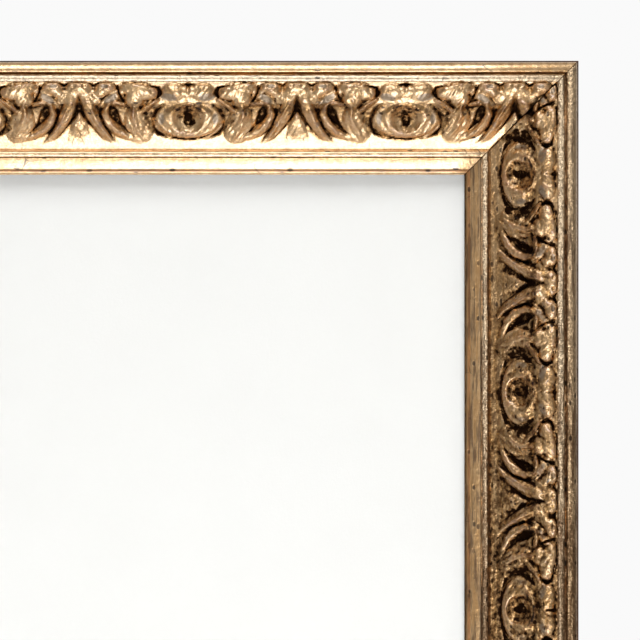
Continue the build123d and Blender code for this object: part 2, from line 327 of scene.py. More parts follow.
@dataclass(frozen=True)
class AntiqueGilt(Finish):
    """Leaf over red bole, toned and painted with shade in the hollows, painted with highlights where gritty,
    rubbed on edges and thin over grey clay in places.
    """

    name: str = "antique_gilt"
    leaf_light: Colour = rgb(0.96, 0.655, 0.350)
    leaf_deep: Colour = rgb(0.70, 0.405, 0.160)
    # brown of the toning and of the painted shade in the hollows
    shade_and_toning_brown: Colour = rgb(0.150, 0.066, 0.022)
    # black of specks, cracks and dark joints, and of the painted shadow in the deepest hollows
    umber: Colour = rgb(0.022, 0.009, 0.004)
    bole: Colour = rgb(0.34, 0.115, 0.040)
    clay: Colour = rgb(0.42, 0.335, 0.255)
    # painted highlight on the gritty beads and fillet
    pale: Colour = rgb(0.97, 0.80, 0.58)
    roughness: float = 0.31
    coat_roughness: float = 0.24
    coat_ior: float = 2.0
    cloud_scale: float = 90.0
    mottle_scale: float = 520.0
    grit_scale: float = 820.0
    crease_scale: float = 420.0
    stroke_scale: Point = (70.0, 900.0)  # along the rail and beside it
    speck_scale: float = 620.0
    speck_stretch: Point = (0.5, 1.0)
    speck_tone: Point = (0.10, 0.26)  # toning and painted shade where specks begin to lie, and where all of them do
    speck_size: Point = (0.40, 0.22)  # edge of a speck, and of its full black
    speck_lot: Point = (0.76, 0.84)  # cells that have one
    pit_edge: Point = (0.42, 0.32)
    crack_scale: float = 95.0
    crack_edge: Point = (0.014, 0.005)
    crack_lot: Point = (0.60, 0.68)  # clouds that are cracked
    crack_depth: float = 0.55
    streaked: bool = True  # whether the toning and painted shade are drawn out along the rail
    browned: Point = (0.14, 0.52)  # toning and painted shade that begin to show, and that are all brown
    blackened: Point = (0.62, 1.0)  # toning and painted shadow that turn black, and that are all black
    rubbed_range: Point = (0.62, 0.95)  # wear where bole begins to show, and where it is bare
    leaf_range: Point = (0.38, 0.62)  # shade of the deep leaf, and of the light leaf
    grit_highlight_range: Point = (0.3, 0.9)  # grit where the painted highlight begins, and where it is full
    clay_range: Point = (0.15, 0.65)  # thinness where clay begins to show, and where it is bare
    coat_range: Point = (0.45, 0.10)  # toning and painted shade that take the shine off, and that leave it
    crumple: float = 0.6  # depth of the creases of the leaf
    brushing: float = 0.7  # depth of the brush marks along the rail
    drawn: Point = (0.4, 1.1)  # how much the top and bottom rails are streaked, and the side rails
    sparkle: Point = (2.0, 4.0)  # depth of the grit, likewise
    bump_depth: float = 0.00026

    def lay(self, book: NodeBook) -> None:
        """Add the finish's nodes.

        Args:
            book: Book of the material's node tree.
        """
        recess, wear, thin, sandy = (book.mask(name) for name in (RECESS, WEAR, THIN, SANDY))
        drawn, sparkle = self.grain.pick(*self.drawn), self.grain.pick(*self.sparkle)
        cloud = book.noise(self.cloud_scale, 3.0)
        mottle = book.noise(self.mottle_scale, 4.0, 0.6)
        grit = book.noise(self.grit_scale)
        creases = (book.noise(self.crease_scale, 4.0, 0.6) - 0.5).size()
        strokes = book.noise(1.0, 4.0, 0.6, self.grain.stretch(*self.stroke_scale))

        gap, lot = book.cells(self.speck_scale, self.grain.stretch(*self.speck_stretch))
        near_hollow = (recess + (cloud - 0.5) * 0.3).step(*self.speck_tone)
        specks = gap.step(*self.speck_size) * lot.step(*self.speck_lot) * near_hollow
        pits = grit.step(*self.pit_edge) * sandy
        cracks = book.seams(self.crack_scale).step(*self.crack_edge) * cloud.step(*self.crack_lot)

        # Toning and painted shade, with streaks or torn edges
        if self.streaked:
            tone_and_shade = recess + (strokes - 0.5) * (recess.step(0.0, 0.14) * (2.9 - recess * 2.4) * drawn)
        else:
            tone_and_shade = recess + (mottle - 0.5) * (recess.step(0.22, 0.55) * 3.2)
        brown = tone_and_shade.step(*self.browned).most(pits * 0.7).held()
        black = tone_and_shade.step(*self.blackened).most(specks * 0.85).most(cracks * self.crack_depth).held()
        rubbed = (wear * 0.8 + (mottle - 0.5) * 1.3).step(*self.rubbed_range)

        shade = cloud * 0.2 + strokes * drawn * 0.6 + mottle * (0.8 - drawn * 0.6)
        leaf = book.tint(shade.step(*self.leaf_range), self.leaf_deep, self.leaf_light)
        # Painted highlight: the gritty leaf is paled
        bright = book.tint(sandy.step(*self.grit_highlight_range) * 0.75, leaf, self.pale)
        bare = (thin + (mottle - 0.5) * 0.4).step(*self.clay_range)
        faded = book.tint(bare * 0.9, bright, self.clay)
        worn = book.tint(rubbed * 0.6, faded, self.bole)
        toned_and_shaded = book.tint(brown * 0.8, worn, self.shade_and_toning_brown)

        relief = grit * (sandy * sparkle + 0.12) + mottle * 0.5 + creases * self.crumple
        relief = relief + strokes * (drawn * self.brushing) - specks * 0.9 - cracks * self.crack_depth
        rough = self.roughness + (mottle - 0.5) * 0.16 + black * 0.30 + thin * 0.20 + sandy * 0.09
        book.surface({
            "Base Color": book.tint(black, toned_and_shaded, self.umber),
            "Metallic": 1.0 - rubbed * 0.5,
            "Roughness": rough,
            "Normal": book.bump(relief, self.bump_depth),
            "Coat Weight": recess.step(*self.coat_range) * (1.0 - thin),
            "Coat Roughness": self.coat_roughness,
            "Coat IOR": self.coat_ior,
        })


@dataclass(frozen=True)
class UmberEdge(Finish):
    """Dark toned paint on the frame's outer sides and in the sight edge."""

    name: str = "umber_edge"
    dark: Colour = rgb(0.040, 0.018, 0.012)
    warm: Colour = rgb(0.115, 0.048, 0.026)
    stroke_scale: Point = (18.0, 520.0)
    mottle_scale: float = 260.0
    bump_depth: float = 0.00025

    def lay(self, book: NodeBook) -> None:
        """Add the finish's nodes.

        Args:
            book: Book of the material's node tree.
        """
        strokes = book.noise(1.0, 4.0, stretch=self.grain.stretch(*self.stroke_scale))
        mottle = book.noise(self.mottle_scale, 3.0)
        book.surface({
            "Base Color": book.tint((strokes * 0.6 + mottle * 0.4).step(0.36, 0.66), self.dark, self.warm),
            "Roughness": 0.45 + mottle * 0.25,
            "Normal": book.bump(strokes * 0.7 + mottle * 0.3, self.bump_depth),
        })


@dataclass(frozen=True)
class BareWood(Finish):
    """Unpainted softwood on the back and in the rabbet."""

    name: str = "bare_wood"
    early: Colour = rgb(0.56, 0.37, 0.20)
    late: Colour = rgb(0.33, 0.18, 0.082)
    ring_scale: Point = (4.0, 95.0)
    ring_count: float = 34.0  # radians over the rings' whole range
    pore_scale: Point = (30.0, 900.0)
    bump_depth: float = 0.0003

    def lay(self, book: NodeBook) -> None:
        """Add the finish's nodes.

        Args:
            book: Book of the material's node tree.
        """
        rings = book.noise(1.0, 3.0, 0.55, self.grain.stretch(*self.ring_scale))
        banding = ((rings * self.ring_count).sine() * 0.5 + 0.5).held()
        pores = book.noise(1.0, 3.0, stretch=self.grain.stretch(*self.pore_scale))
        book.surface({
            "Base Color": book.tint((banding * 0.55 + pores * 0.45).held(), self.early, self.late),
            "Roughness": 0.62 + pores * 0.2,
            "Normal": book.bump(pores * 0.7 + banding * 0.3, self.bump_depth),
        })


@dataclass(frozen=True)
class Hardboard(Finish):
    """Pressed fibre board."""

    name: str = "hardboard"
    pale: Colour = rgb(0.215, 0.120, 0.060)
    dark: Colour = rgb(0.110, 0.056, 0.027)
    fibre_scale: float = 900.0
    cloud_scale: float = 45.0
    fleck_scale: float = 420.0
    fleck_stretch: Triple = (1.0, 1.0, 2.6)
    bump_depth: float = 0.00022

    def lay(self, book: NodeBook) -> None:
        """Add the finish's nodes.

        Args:
            book: Book of the material's node tree.
        """
        fibres = book.noise(self.fibre_scale, 4.0, 0.65)
        cloud = book.noise(self.cloud_scale, 3.0)
        gap, lot = book.cells(self.fleck_scale, self.fleck_stretch)
        fleck = gap.step(0.30, 0.12) * lot.step(0.80, 0.86)
        shade = (fibres * 0.6 + cloud * 0.4 + fleck * 0.35).step(0.30, 0.72)
        book.surface({
            "Base Color": book.tint(shade, self.pale, self.dark),
            "Roughness": 0.50 + fibres * 0.25,
            "Normal": book.bump(fibres, self.bump_depth),
        })


@dataclass(frozen=True)
class PlatedSteel(Finish):
    """Plated sheet or wire, with rolling marks and dull patches."""

    bright: Colour
    dull: Colour
    roughness: float
    spangle_scale: float = 260.0
    rolling_stretch: Triple = (1500.0, 1500.0, 90.0)
    stain_scale: float = 420.0
    bump_depth: float = 0.00008

    def lay(self, book: NodeBook) -> None:
        """Add the finish's nodes.

        Args:
            book: Book of the material's node tree.
        """
        spangle, lot = book.cells(self.spangle_scale)
        rolling = book.noise(1.0, stretch=self.rolling_stretch)
        stain = book.noise(self.stain_scale, 4.0, 0.6)
        patch = (lot * 0.2 + stain * 0.5 + rolling * 0.3).step(0.30, 0.75)
        book.surface({
            "Base Color": book.tint(patch, self.bright, self.dull),
            "Metallic": 1.0,
            "Roughness": self.roughness + patch * 0.16 + (rolling - 0.5) * 0.12,
            "Normal": book.bump(rolling * 0.4 + stain * 0.4 + spangle * 0.1, self.bump_depth),
        })


@dataclass(frozen=True)
class WindowGlass(Finish):
    """Clear picture glass that lets lamp light through to the insert."""

    name: str = "picture_glass"
    tint: Colour = rgb(0.985, 0.992, 0.988)
    ior: float = 1.5
    haze_scale: float = 12.0
    dust_scale: float = 2600.0

    def lay(self, book: NodeBook) -> None:
        """Add the finish's nodes.

        Args:
            book: Book of the material's node tree.
        """
        haze = book.noise(self.haze_scale, 3.0).step(0.45, 0.75)
        dust = book.noise(self.dust_scale).step(0.70, 0.80)
        rough = 0.004 + haze * 0.012 + dust * 0.05
        inputs = {"Base Color": self.tint, "Roughness": rough, "Transmission Weight": 1.0, "IOR": self.ior}
        pane = book.make("ShaderNodeBsdfPrincipled", inputs)
        clear = book.make("ShaderNodeBsdfTransparent", {"Color": self.tint})
        shadow = book.make("ShaderNodeLightPath").outputs["Is Shadow Ray"]
        book.close(book.make("ShaderNodeMixShader", {0: shadow, 1: pane.outputs[0], 2: clear.outputs[0]}))


@dataclass(frozen=True)
class WhitePaper(Finish):
    """Plain white insert sheet."""

    name: str = "insert_paper"
    white: Colour = rgb(0.800, 0.797, 0.800)
    shade: Colour = rgb(0.780, 0.777, 0.780)
    pulp_scale: float = 1400.0
    cloud_scale: float = 30.0
    roughness: float = 0.85
    bump_depth: float = 0.00005

    def lay(self, book: NodeBook) -> None:
        """Add the finish's nodes.

        Args:
            book: Book of the material's node tree.
        """
        pulp = book.noise(self.pulp_scale, 4.0, 0.6)
        cloud = book.noise(self.cloud_scale)
        book.surface({
            "Base Color": book.tint((pulp * 0.5 + cloud * 0.5).step(0.40, 0.75), self.white, self.shade),
            "Roughness": self.roughness,
            "Normal": book.bump(pulp, self.bump_depth),
        })


@dataclass(frozen=True)
class PadFelt(Finish):
    """Grey felt of the wall pads."""

    name: str = "pad_felt"
    light: Colour = rgb(0.20, 0.195, 0.185)
    dark: Colour = rgb(0.075, 0.072, 0.068)
    fibre_scale: float = 2100.0
    fibre_stretch: Triple = (1.0, 1.0, 1.6)
    tuft_scale: float = 600.0
    roughness: float = 0.95
    sheen: float = 0.35
    bump_depth: float = 0.0006

    def lay(self, book: NodeBook) -> None:
        """Add the finish's nodes.

        Args:
            book: Book of the material's node tree.
        """
        fibres = book.noise(self.fibre_scale, 5.0, 0.7, self.fibre_stretch)
        tufts = book.noise(self.tuft_scale, 3.0)
        book.surface({
            "Base Color": book.tint((fibres * 0.65 + tufts * 0.35).step(0.36, 0.66), self.dark, self.light),
            "Roughness": self.roughness,
            "Normal": book.bump(fibres * 0.7 + tufts * 0.3, self.bump_depth),
            "Sheen Weight": self.sheen,
        })


@dataclass(frozen=True)
class FloorPaint(Finish):
    """Pale studio floor."""

    name: str = "studio_floor"
    dark: Colour = rgb(0.69, 0.69, 0.68)
    pale: Colour = rgb(0.72, 0.72, 0.71)
    cloud_scale: float = 3.0
    roughness: float = 0.9

    def lay(self, book: NodeBook) -> None:
        """Add the finish's nodes."""
        colour = book.tint(book.noise(self.cloud_scale).step(0.3, 0.7), self.dark, self.pale)
        book.surface({"Base Color": colour, "Roughness": self.roughness})


# Places and sizes, in millimetres: along a rail, across it from the sight edge, and up from its back


def ramp(values: np.ndarray, start: float, end: float) -> np.ndarray:
    """Straight step of values: 0 at start and 1 at end, which may lie below start."""
    return np.clip((values - start) / (end - start), 0.0, 1.0)


@dataclass(frozen=True)
class RailPlace:
    """Where a rail lies: its own x runs along it, y outwards from the sight edge, z to the front."""

    side: Side
    half_length: float
    first_eye: float  # from the rail's first outer corner
    origin: Vector
    along: Vector
    outward: Vector
    unshaded_end: float = 45.0  # from the corner: a side rail has no painted shade up to here
    shaded_from: float = 190.0  # and from here on its painted shade is full

    @property
    def grain(self) -> Grain:
        """World axis of the rail's length."""
        return Grain.ACROSS if self.side in (Side.TOP, Side.BOTTOM) else Grain.UPRIGHT

    def side_shade_share(self, along: np.ndarray) -> np.ndarray:
        """Share of the painted shade that a side rail gets, full away from its corners; the top and bottom
        rails get none.
        """
        from_end = self.half_length - np.abs(along)
        return self.grain.pick(0.0, 1.0) * ramp(from_end, self.unshaded_end, self.shaded_from)

    def matrix(self) -> Matrix:
        """Turn from the rail's millimetres to the frame's metres.

        Returns:
            The 4 x 4 matrix.
        """
        front = Vector((0.0, -1.0, 0.0))
        columns = [self.along * MM, self.outward * MM, front * MM]
        rows = [[columns[c][r] for c in range(3)] + [self.origin[r]] for r in range(3)]
        return Matrix([*rows, [0.0, 0.0, 0.0, 1.0]])


@dataclass(frozen=True)
class FrameLayout:
    """Overall places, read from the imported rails."""

    moulding_width: float = 40.0
    first_eyes: tuple[float, ...] = (2.0, 40.0, 52.0, 28.0)  # top, right, bottom and left

    def places(self) -> list[RailPlace]:
        """Work out the four rails' places.

        Returns:
            Top, right, bottom and left.
        """
        low_left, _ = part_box("left_rail")
        _, high_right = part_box("right_rail")
        _, high_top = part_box("top_rail")
        low_bottom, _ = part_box("bottom_rail")
        half_width = (high_right.x - low_left.x) / 2
        half_height = (high_top.z - low_bottom.z) / 2
        middle = Vector(((high_right.x + low_left.x) / 2, high_top.y, (high_top.z + low_bottom.z) / 2))
        right, up = Vector((1.0, 0.0, 0.0)), Vector((0.0, 0.0, 1.0))
        ways = ((right, up), (-up, right), (-right, -up), (up, -right))
        places = []
        for side, eye, (along, outward) in zip(Side, self.first_eyes, ways):
            flat = side in (Side.TOP, Side.BOTTOM)
            half, away = (half_width, half_height) if flat else (half_height, half_width)
            origin = middle + outward * (away - self.moulding_width * MM)
            places.append(RailPlace(side, half / MM, eye, origin, along, outward))
        return places


@dataclass(frozen=True)
class Moulding:
    """Section of the moulding: distances from the sight edge outwards and heights from the back."""

    width: float = 40.0
    lip_width: float = 6.0
    rabbet_depth: float = 5.5
    sight_height: float = 8.5
    band_start: Point = (1.9, 10.0)
    band_end: Point = (5.9, 11.0)
    band_crown: float = 0.12
    groove_depth: float = 0.22
    bead_start: float = 6.2
    bead_end: float = 8.2
    bead_height: float = 0.55
    bead_lean: float = 0.1
    cove_start: Point = (9.0, 10.4)
    cove_end: Point = (25.0, 19.4)
    cove_sag: float = 1.0
    border_end: float = 32.4
    border_height: float = 21.0
    bed_depth: float = 3.2
    fillet_end: float = 34.8
    fillet_height: float = 21.0  # at its two edges
    fillet_crown: float = 0.5
    fillet_foot: Point = (0.15, 0.3)  # beyond the fillet, and above the outer bead's start
    outer_bead_start: Point = (35.5, 19.1)
    outer_bead_end: Point = (39.6, 17.2)
    outer_bead_height: float = 1.3
    outer_bead_rise: float = 1.0  # from the groove to the crest
    shoulder_height: float = 17.1
    arc_steps: int = 10
    grit_edge: float = 0.1  # how far the grit reaches past the forms it covers
    band_grit: float = 0.08
    bead_grit: Point = (0.55, 1.0)  # top and bottom rails, and side rails
    fillet_grit: float = 1.0
    outer_grit: Point = (0.22, 0.65)  # top and bottom rails, and side rails

    def arch(self, start: Point, end: Point, rise: float, full: bool = False) -> list[Point]:
        """Points between two points of the section, raised in the middle.

        Args:
            start: First point.
            end: Last point.
            rise: Height of the middle above the chord.
            full: Whether the arch is half an ellipse, or else a shallow curve.

        Returns:
            The points, without the last.
        """
        points = []
        for step in range(self.arc_steps):
            turn = math.pi * step / self.arc_steps
            share = (1 - math.cos(turn)) / 2 if full else step / self.arc_steps
            swell = math.sin(turn) if full else 4 * share * (1 - share)
            east, north = (a + (b - a) * share for a, b in zip(start, end))
            points.append((east, north + rise * swell))
        return points

    def quarter(self, middle: Point, corner: Point, rising: bool) -> list[Point]:
        """Points of a quarter of an ellipse.

        Args:
            middle: Its middle.
            corner: Corner of the box around the quarter, opposite the middle.
            rising: Whether it runs up to the top of the ellipse, or else down from it.

        Returns:
            The points, without the last.
        """
        wide, tall = corner[0] - middle[0], corner[1] - middle[1]
        turns = [math.pi / 2 * step / self.arc_steps for step in range(self.arc_steps)]
        if rising:
            return [(middle[0] + wide * math.cos(turn), middle[1] + tall * math.sin(turn)) for turn in turns]
        return [(middle[0] + wide * math.sin(turn), middle[1] + tall * math.cos(turn)) for turn in turns]

    def outline(self) -> list[Point]:
        """The closed outline of the wooden section, from the foot of the rabbet round the front.

        Returns:
            The points.
        """
        base = self.band_end[1]
        bead = (self.bead_start, base), (self.bead_end, base + self.bead_lean)
        fillet = (self.border_end, self.fillet_height), (self.fillet_end, self.fillet_height)
        start, end = self.outer_bead_start, self.outer_bead_end
        crest = (start[0] + self.outer_bead_rise, start[1] + self.outer_bead_height)
        return [
            (self.lip_width, 0.0),
            (self.lip_width, self.rabbet_depth),
            (0.0, self.rabbet_depth),
            *self.quarter((self.band_start[0], self.sight_height), (0.0, self.band_start[1]), True),
            *self.arch(self.band_start, self.band_end, self.band_crown),
            *self.arch(self.band_end, bead[0], -self.groove_depth),
            *self.arch(*bead, self.bead_height, full=True),
            bead[1],
            self.cove_start,
            (self.cove_start[0], self.cove_start[1] - self.bed_depth),
            (self.cove_end[0], self.cove_end[1] - self.bed_depth),
            (self.border_end, self.cove_end[1] - self.bed_depth),
            *self.arch(*fillet, self.fillet_crown),
            fillet[1],
            (self.fillet_end + self.fillet_foot[0], start[1] + self.fillet_foot[1]),
            *self.quarter((crest[0], start[1]), (start[0], crest[1]), True),
            *self.quarter((crest[0], end[1]), (end[0], crest[1]), False),
            end,
            (self.width, self.shoulder_height),
            (self.width, 0.0),
        ]

    def _chord(self, share: np.ndarray) -> np.ndarray:
        """Height of the straight line under the cove."""
        return self.cove_start[1] + (self.cove_end[1] - self.cove_start[1]) * share

    def ground(self, across: np.ndarray) -> np.ndarray:
        """Height of the ornament's ground.

        Args:
            across: Distances from the sight edge.

        Returns:
            Heights from the back.
        """
        run = self.cove_end[0] - self.cove_start[0]
        share = ramp(across, self.cove_start[0], self.cove_end[0])
        slope = math.hypot(run, self.cove_end[1] - self.cove_start[1]) / run
        rise = (self.border_height - self.cove_end[1]) * ramp(across, self.cove_end[0], self.border_end)
        return self._chord(share) - self.cove_sag * slope * 4 * share * (1 - share) + rise

    def bed(self, across: np.ndarray) -> np.ndarray:
        """Height of the flat bed that the ornament sits on."""
        return self._chord(ramp(across, self.cove_start[0], self.cove_end[0])) - self.bed_depth

    def hollows(self, grain: Grain) -> list[Triple]:
        """Where toning and painted shade lie: place across, half width and depth of tone.

        Args:
            grain: Which way the rail runs: the painted shade differs between the top and bottom rails and
                the side rails, mostly deeper on the side rails.

        Returns:
            One entry for each groove.
        """
        pick = grain.pick
        outer_start, outer_end = self.outer_bead_start[0], self.outer_bead_end[0]
        return [
            (0.1, 0.55, pick(0.15, 0.85)),  # sight edge
            ((self.band_start[0] + self.band_end[0]) / 2, 2.4, pick(0.0, 0.25)),  # band
            (self.band_end[0] - 1.2, 0.8, pick(0.0, 0.20)),
            (self.band_start[0] - 0.35, 0.75, 0.45),  # worn line
            ((self.band_end[0] + self.bead_start) / 2, 0.3, pick(0.50, 0.15)),  # groove inside the bead
            (self.bead_end + 0.15, pick(0.25, 0.4), pick(0.55, 0.80)),  # quirk outside it
            (self.cove_start[0] + 0.5, 0.9, pick(0.10, 0.30)),  # foot of the cove
            (self.border_end, 0.30, 0.60),
            ((self.border_end + self.fillet_end) / 2, 1.2, pick(0.24, 0.0)),  # fillet
            (self.fillet_end, 0.35, 0.45),
            (outer_start - 0.2, 0.50, pick(0.46, 0.62)),  # outer groove
            (outer_start + 0.9, 0.9, 0.22),  # outer bead, painted shade on its inner half
            ((outer_start + outer_end) / 2, 1.8, 0.12),
            (self.width, 0.45, 1.0),  # outer edge
        ]

    def grit(self, across: float, grain: Grain) -> float:
        """How gritty the leaf is; the grit also sets the painted highlight.

        Args:
            across: Distance from the sight edge.
            grain: Which way the rail runs.

        Returns:
            Grit, 0 to 1.
        """
        if self.bead_start - self.grit_edge < across < self.bead_end + self.grit_edge:
            return grain.pick(*self.bead_grit)
        if self.border_end - self.grit_edge < across < self.fillet_end + self.grit_edge:
            return self.fillet_grit
        return self.band_grit if across < self.band_end[0] else grain.pick(*self.outer_grit)


# Rails


def mesh_of(body: bmesh.types.BMesh, name: str) -> bpy.types.Mesh:
    """Turn a bmesh into a new mesh and free it.

    Args:
        body: The bmesh.
        name: The mesh's name.

    Returns:
        The mesh.
    """
    mesh = bpy.data.meshes.new(name)
    body.to_mesh(mesh)
    body.free()
    return mesh


def add_piece(
    mesh: bpy.types.Mesh, materials: Iterable[bpy.types.Material], node: str
) -> bpy.types.Object:
    """Put a mesh into the scene as a piece of the fixed frame, under the mesh's name.

    Args:
        mesh: The mesh, in place.
        materials: Its material slots, in order.
        node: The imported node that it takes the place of.

    Returns:
        The object.
    """
    for material in materials:
        mesh.materials.append(material)
    piece = bpy.data.objects.new(mesh.name, mesh)
    bpy.context.scene.collection.objects.link(piece)
    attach(piece, BODY)
    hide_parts(node)
    log.info("%s: %d faces", mesh.name, len(mesh.polygons))
    return piece


@dataclass
class MouldingRail:
    """One mitred rail of the wooden moulding."""

    place: RailPlace
    section: Moulding
    mitre_round: float = 0.22  # how far the toning reaches from the mitre
    mitre_sink: float = 0.12
    shade_tone: float = 0.52  # painted shade on the beads and the fillet of the side rails
    worn_line: Point = (-0.9, 0.1)  # from the band's start, rubbed down to the bole
    line_wear: float = 1.25
    even_wear: float = 0.2
    near: float = 0.1  # how far a face's middle may lie from the edge it is known by
    crease: float = math.radians(38.0)

    def build(self) -> bmesh.types.BMesh:
        """Extrude the section and cut its ends.

        Returns:
            The rail in its own millimetres.
        """
        half = self.place.half_length
        body = bmesh.new()
        ring = [body.verts.new((-half, across, height)) for across, height in self.section.outline()]
        grown = bmesh.ops.extrude_face_region(body, geom=[body.faces.new(ring)])
        moved = [item for item in grown["geom"] if isinstance(item, bmesh.types.BMVert)]
        bmesh.ops.translate(body, verts=moved, vec=(2 * half, 0.0, 0.0))
        for end in (-1, 1):
            normal = Vector((end, -1.0, 0.0)).normalized()
            corner = Vector((end * half, self.section.width, 0.0))
            self._slice(body, corner, normal, True)
            bmesh.ops.holes_fill(body, edges=[edge for edge in body.edges if edge.is_boundary])
            self._slice(body, corner - normal * self.mitre_round, normal)
            for reach in (self.place.unshaded_end, self.place.shaded_from):
                self._slice(body, Vector((end * (half - reach), 0.0, 0.0)), Vector((1.0, 0.0, 0.0)))
        bmesh.ops.recalc_face_normals(body, faces=body.faces)
        return body

    @staticmethod
    def _slice(body: bmesh.types.BMesh, point: Vector, normal: Vector, clear: bool = False) -> None:
        """Cut a mesh by a plane.

        Args:
            body: The mesh.
            point: A point of the plane.
            normal: The plane's normal.
            clear: Whether what lies beyond the plane is removed.
        """
        geometry = [*body.verts, *body.edges, *body.faces]
        bmesh.ops.bisect_plane(body, geom=geometry, plane_co=point, plane_no=normal, clear_outer=clear)

    def _tone(self, point: Vector, hollows: Iterable[Triple]) -> float:
        """Toning and painted shade of a point in the grooves, and the painted shade of the side rails.

        Args:
            point: The point in the rail's own millimetres.
            hollows: The section's grooves.

        Returns:
            Tone, 0 to 1.
        """
        tones = [depth * math.exp(-(((point.y - middle) / reach) ** 2)) for middle, reach, depth in hollows]
        if point.y > self.section.band_end[0]:
            tones.append(self.shade_tone * float(self.place.side_shade_share(np.array(point.x))))
        return max(tones)

    def dress(self, body: bmesh.types.BMesh, finishes: Mapping[Layer, bpy.types.Material]) -> None:
        """Tone the grooves, give each face its finish and place the rail.

        Args:
            body: The rail in its own millimetres.
            finishes: Material for each layer.
        """
        recess, wear, sandy = (body.verts.layers.float.new(name) for name in (RECESS, WEAR, SANDY))
        section, place = self.section, self.place
        hollows = section.hollows(place.grain)
        for vert in body.verts:
            across = vert.co.y
            vert[recess] = self._tone(vert.co, hollows)
            from_mitre = (place.half_length - section.width + across - abs(vert.co.x)) / math.sqrt(2)
            if from_mitre < self.mitre_round / 2 and vert.co.z > section.sight_height:
                vert.co.z -= self.mitre_sink
                vert[recess] = 1.0
            vert[sandy] = section.grit(across, place.grain)
            on_line = self.worn_line[0] < across - section.band_start[0] < self.worn_line[1]
            vert[wear] = self.line_wear if on_line else self.even_wear
        for face in body.faces:
            face.material_index = self._layer(face).value
            face.smooth = True
        bmesh.ops.transform(body, matrix=place.matrix(), verts=body.verts)
        bmesh.ops.recalc_face_normals(body, faces=body.faces)
        mesh = mesh_of(body, f"{place.side.value}_moulding")
        mesh.set_sharp_from_angle(angle=self.crease)
        materials = [finishes[layer] for layer in Layer]
        add_piece(mesh, materials, f"{place.side.value}_rail")

    def _layer(self, face: bmesh.types.BMFace) -> Layer:
        """Finish of a face.

        Args:
            face: A face in the rail's own millimetres.

        Returns:
            The layer it shows.
        """
        section = self.section
        middle = face.calc_center_median()
        if abs(face.normal.x) > 0.5 or face.normal.z < -0.5:
            return Layer.BARE
        if middle.y < section.lip_width + self.near and middle.z < section.rabbet_depth:
            return Layer.BARE
        outside = middle.y > section.outer_bead_end[0] + self.near
        in_sight = middle.y < self.near and middle.z < section.sight_height + self.near / 2
        return Layer.UMBER if outside or in_sight else Layer.GILT


# Ornament


@dataclass(frozen=True)
class Spots:
    """Places on the ornament."""

    along: np.ndarray  # distances along the rail, from an eye's axis
    across: np.ndarray  # distances from the sight edge

    def swell(self, scale: float) -> np.ndarray:
        """Swelling of a hand-finished surface, about 0 and within 1: so many swells in a millimetre."""
        places = zip(self.along, self.across)
        return np.array([noise.noise((x * scale, y * scale, scale)) for x, y in places])

    def folded(self, repeat: float) -> "Spots":
        """The same places, measured from the nearest eye to either side."""
        return Spots(np.abs((self.along + repeat / 2) % repeat - repeat / 2), self.across)


@dataclass(frozen=True)
class Stroke:
    """A rounded ridge, or a groove, that follows a line of knots."""

    knots: tuple[Knot, ...]
    power: float = 0.75

    def field(self, spots: Spots) -> np.ndarray:
        """Height of the ridge above its ground.

        Args:
            spots: Places, measured from the nearest eye.

        Returns:
            Heights, 0 outside the ridge.
        """
        best = np.zeros_like(spots.along)
        for start, end in zip(self.knots, self.knots[1:]):
            run, climb = end[0] - start[0], end[1] - start[1]
            east, north = spots.along - start[0], spots.across - start[1]
            share = np.clip((east * run + north * climb) / (run**2 + climb**2), 0.0, 1.0)
            gap = np.hypot(east - share * run, north - share * climb)
            half, rise = (start[i] + (end[i] - start[i]) * share for i in (2, 3))
            body = np.clip(1 - (gap / half) ** 2, 0.0, 1.0) ** self.power
            best = np.maximum(best, rise * body)
        return best


@dataclass(frozen=True)
class Pillow:
    """A flattened oval lobe: centre, half axes, turn in degrees and height."""

    centre: Point
    halves: Point
    turn: float
    height: float
    flat: float = 0.75  # how round the edge is

    def field(self, spots: Spots) -> np.ndarray:
        """Height of the lobe above its ground.

        Args:
            spots: Places, measured from the nearest eye.

        Returns:
            Heights, 0 outside the lobe.
        """
        sine, cosine = math.sin(math.radians(self.turn)), math.cos(math.radians(self.turn))
        east, north = spots.along - self.centre[0], spots.across - self.centre[1]
        long, wide = east * cosine + north * sine, north * cosine - east * sine
        reach = np.hypot(long / self.halves[0], wide / self.halves[1])
        return self.height * np.clip(1 - reach**2, 0.0, 1.0) ** self.flat


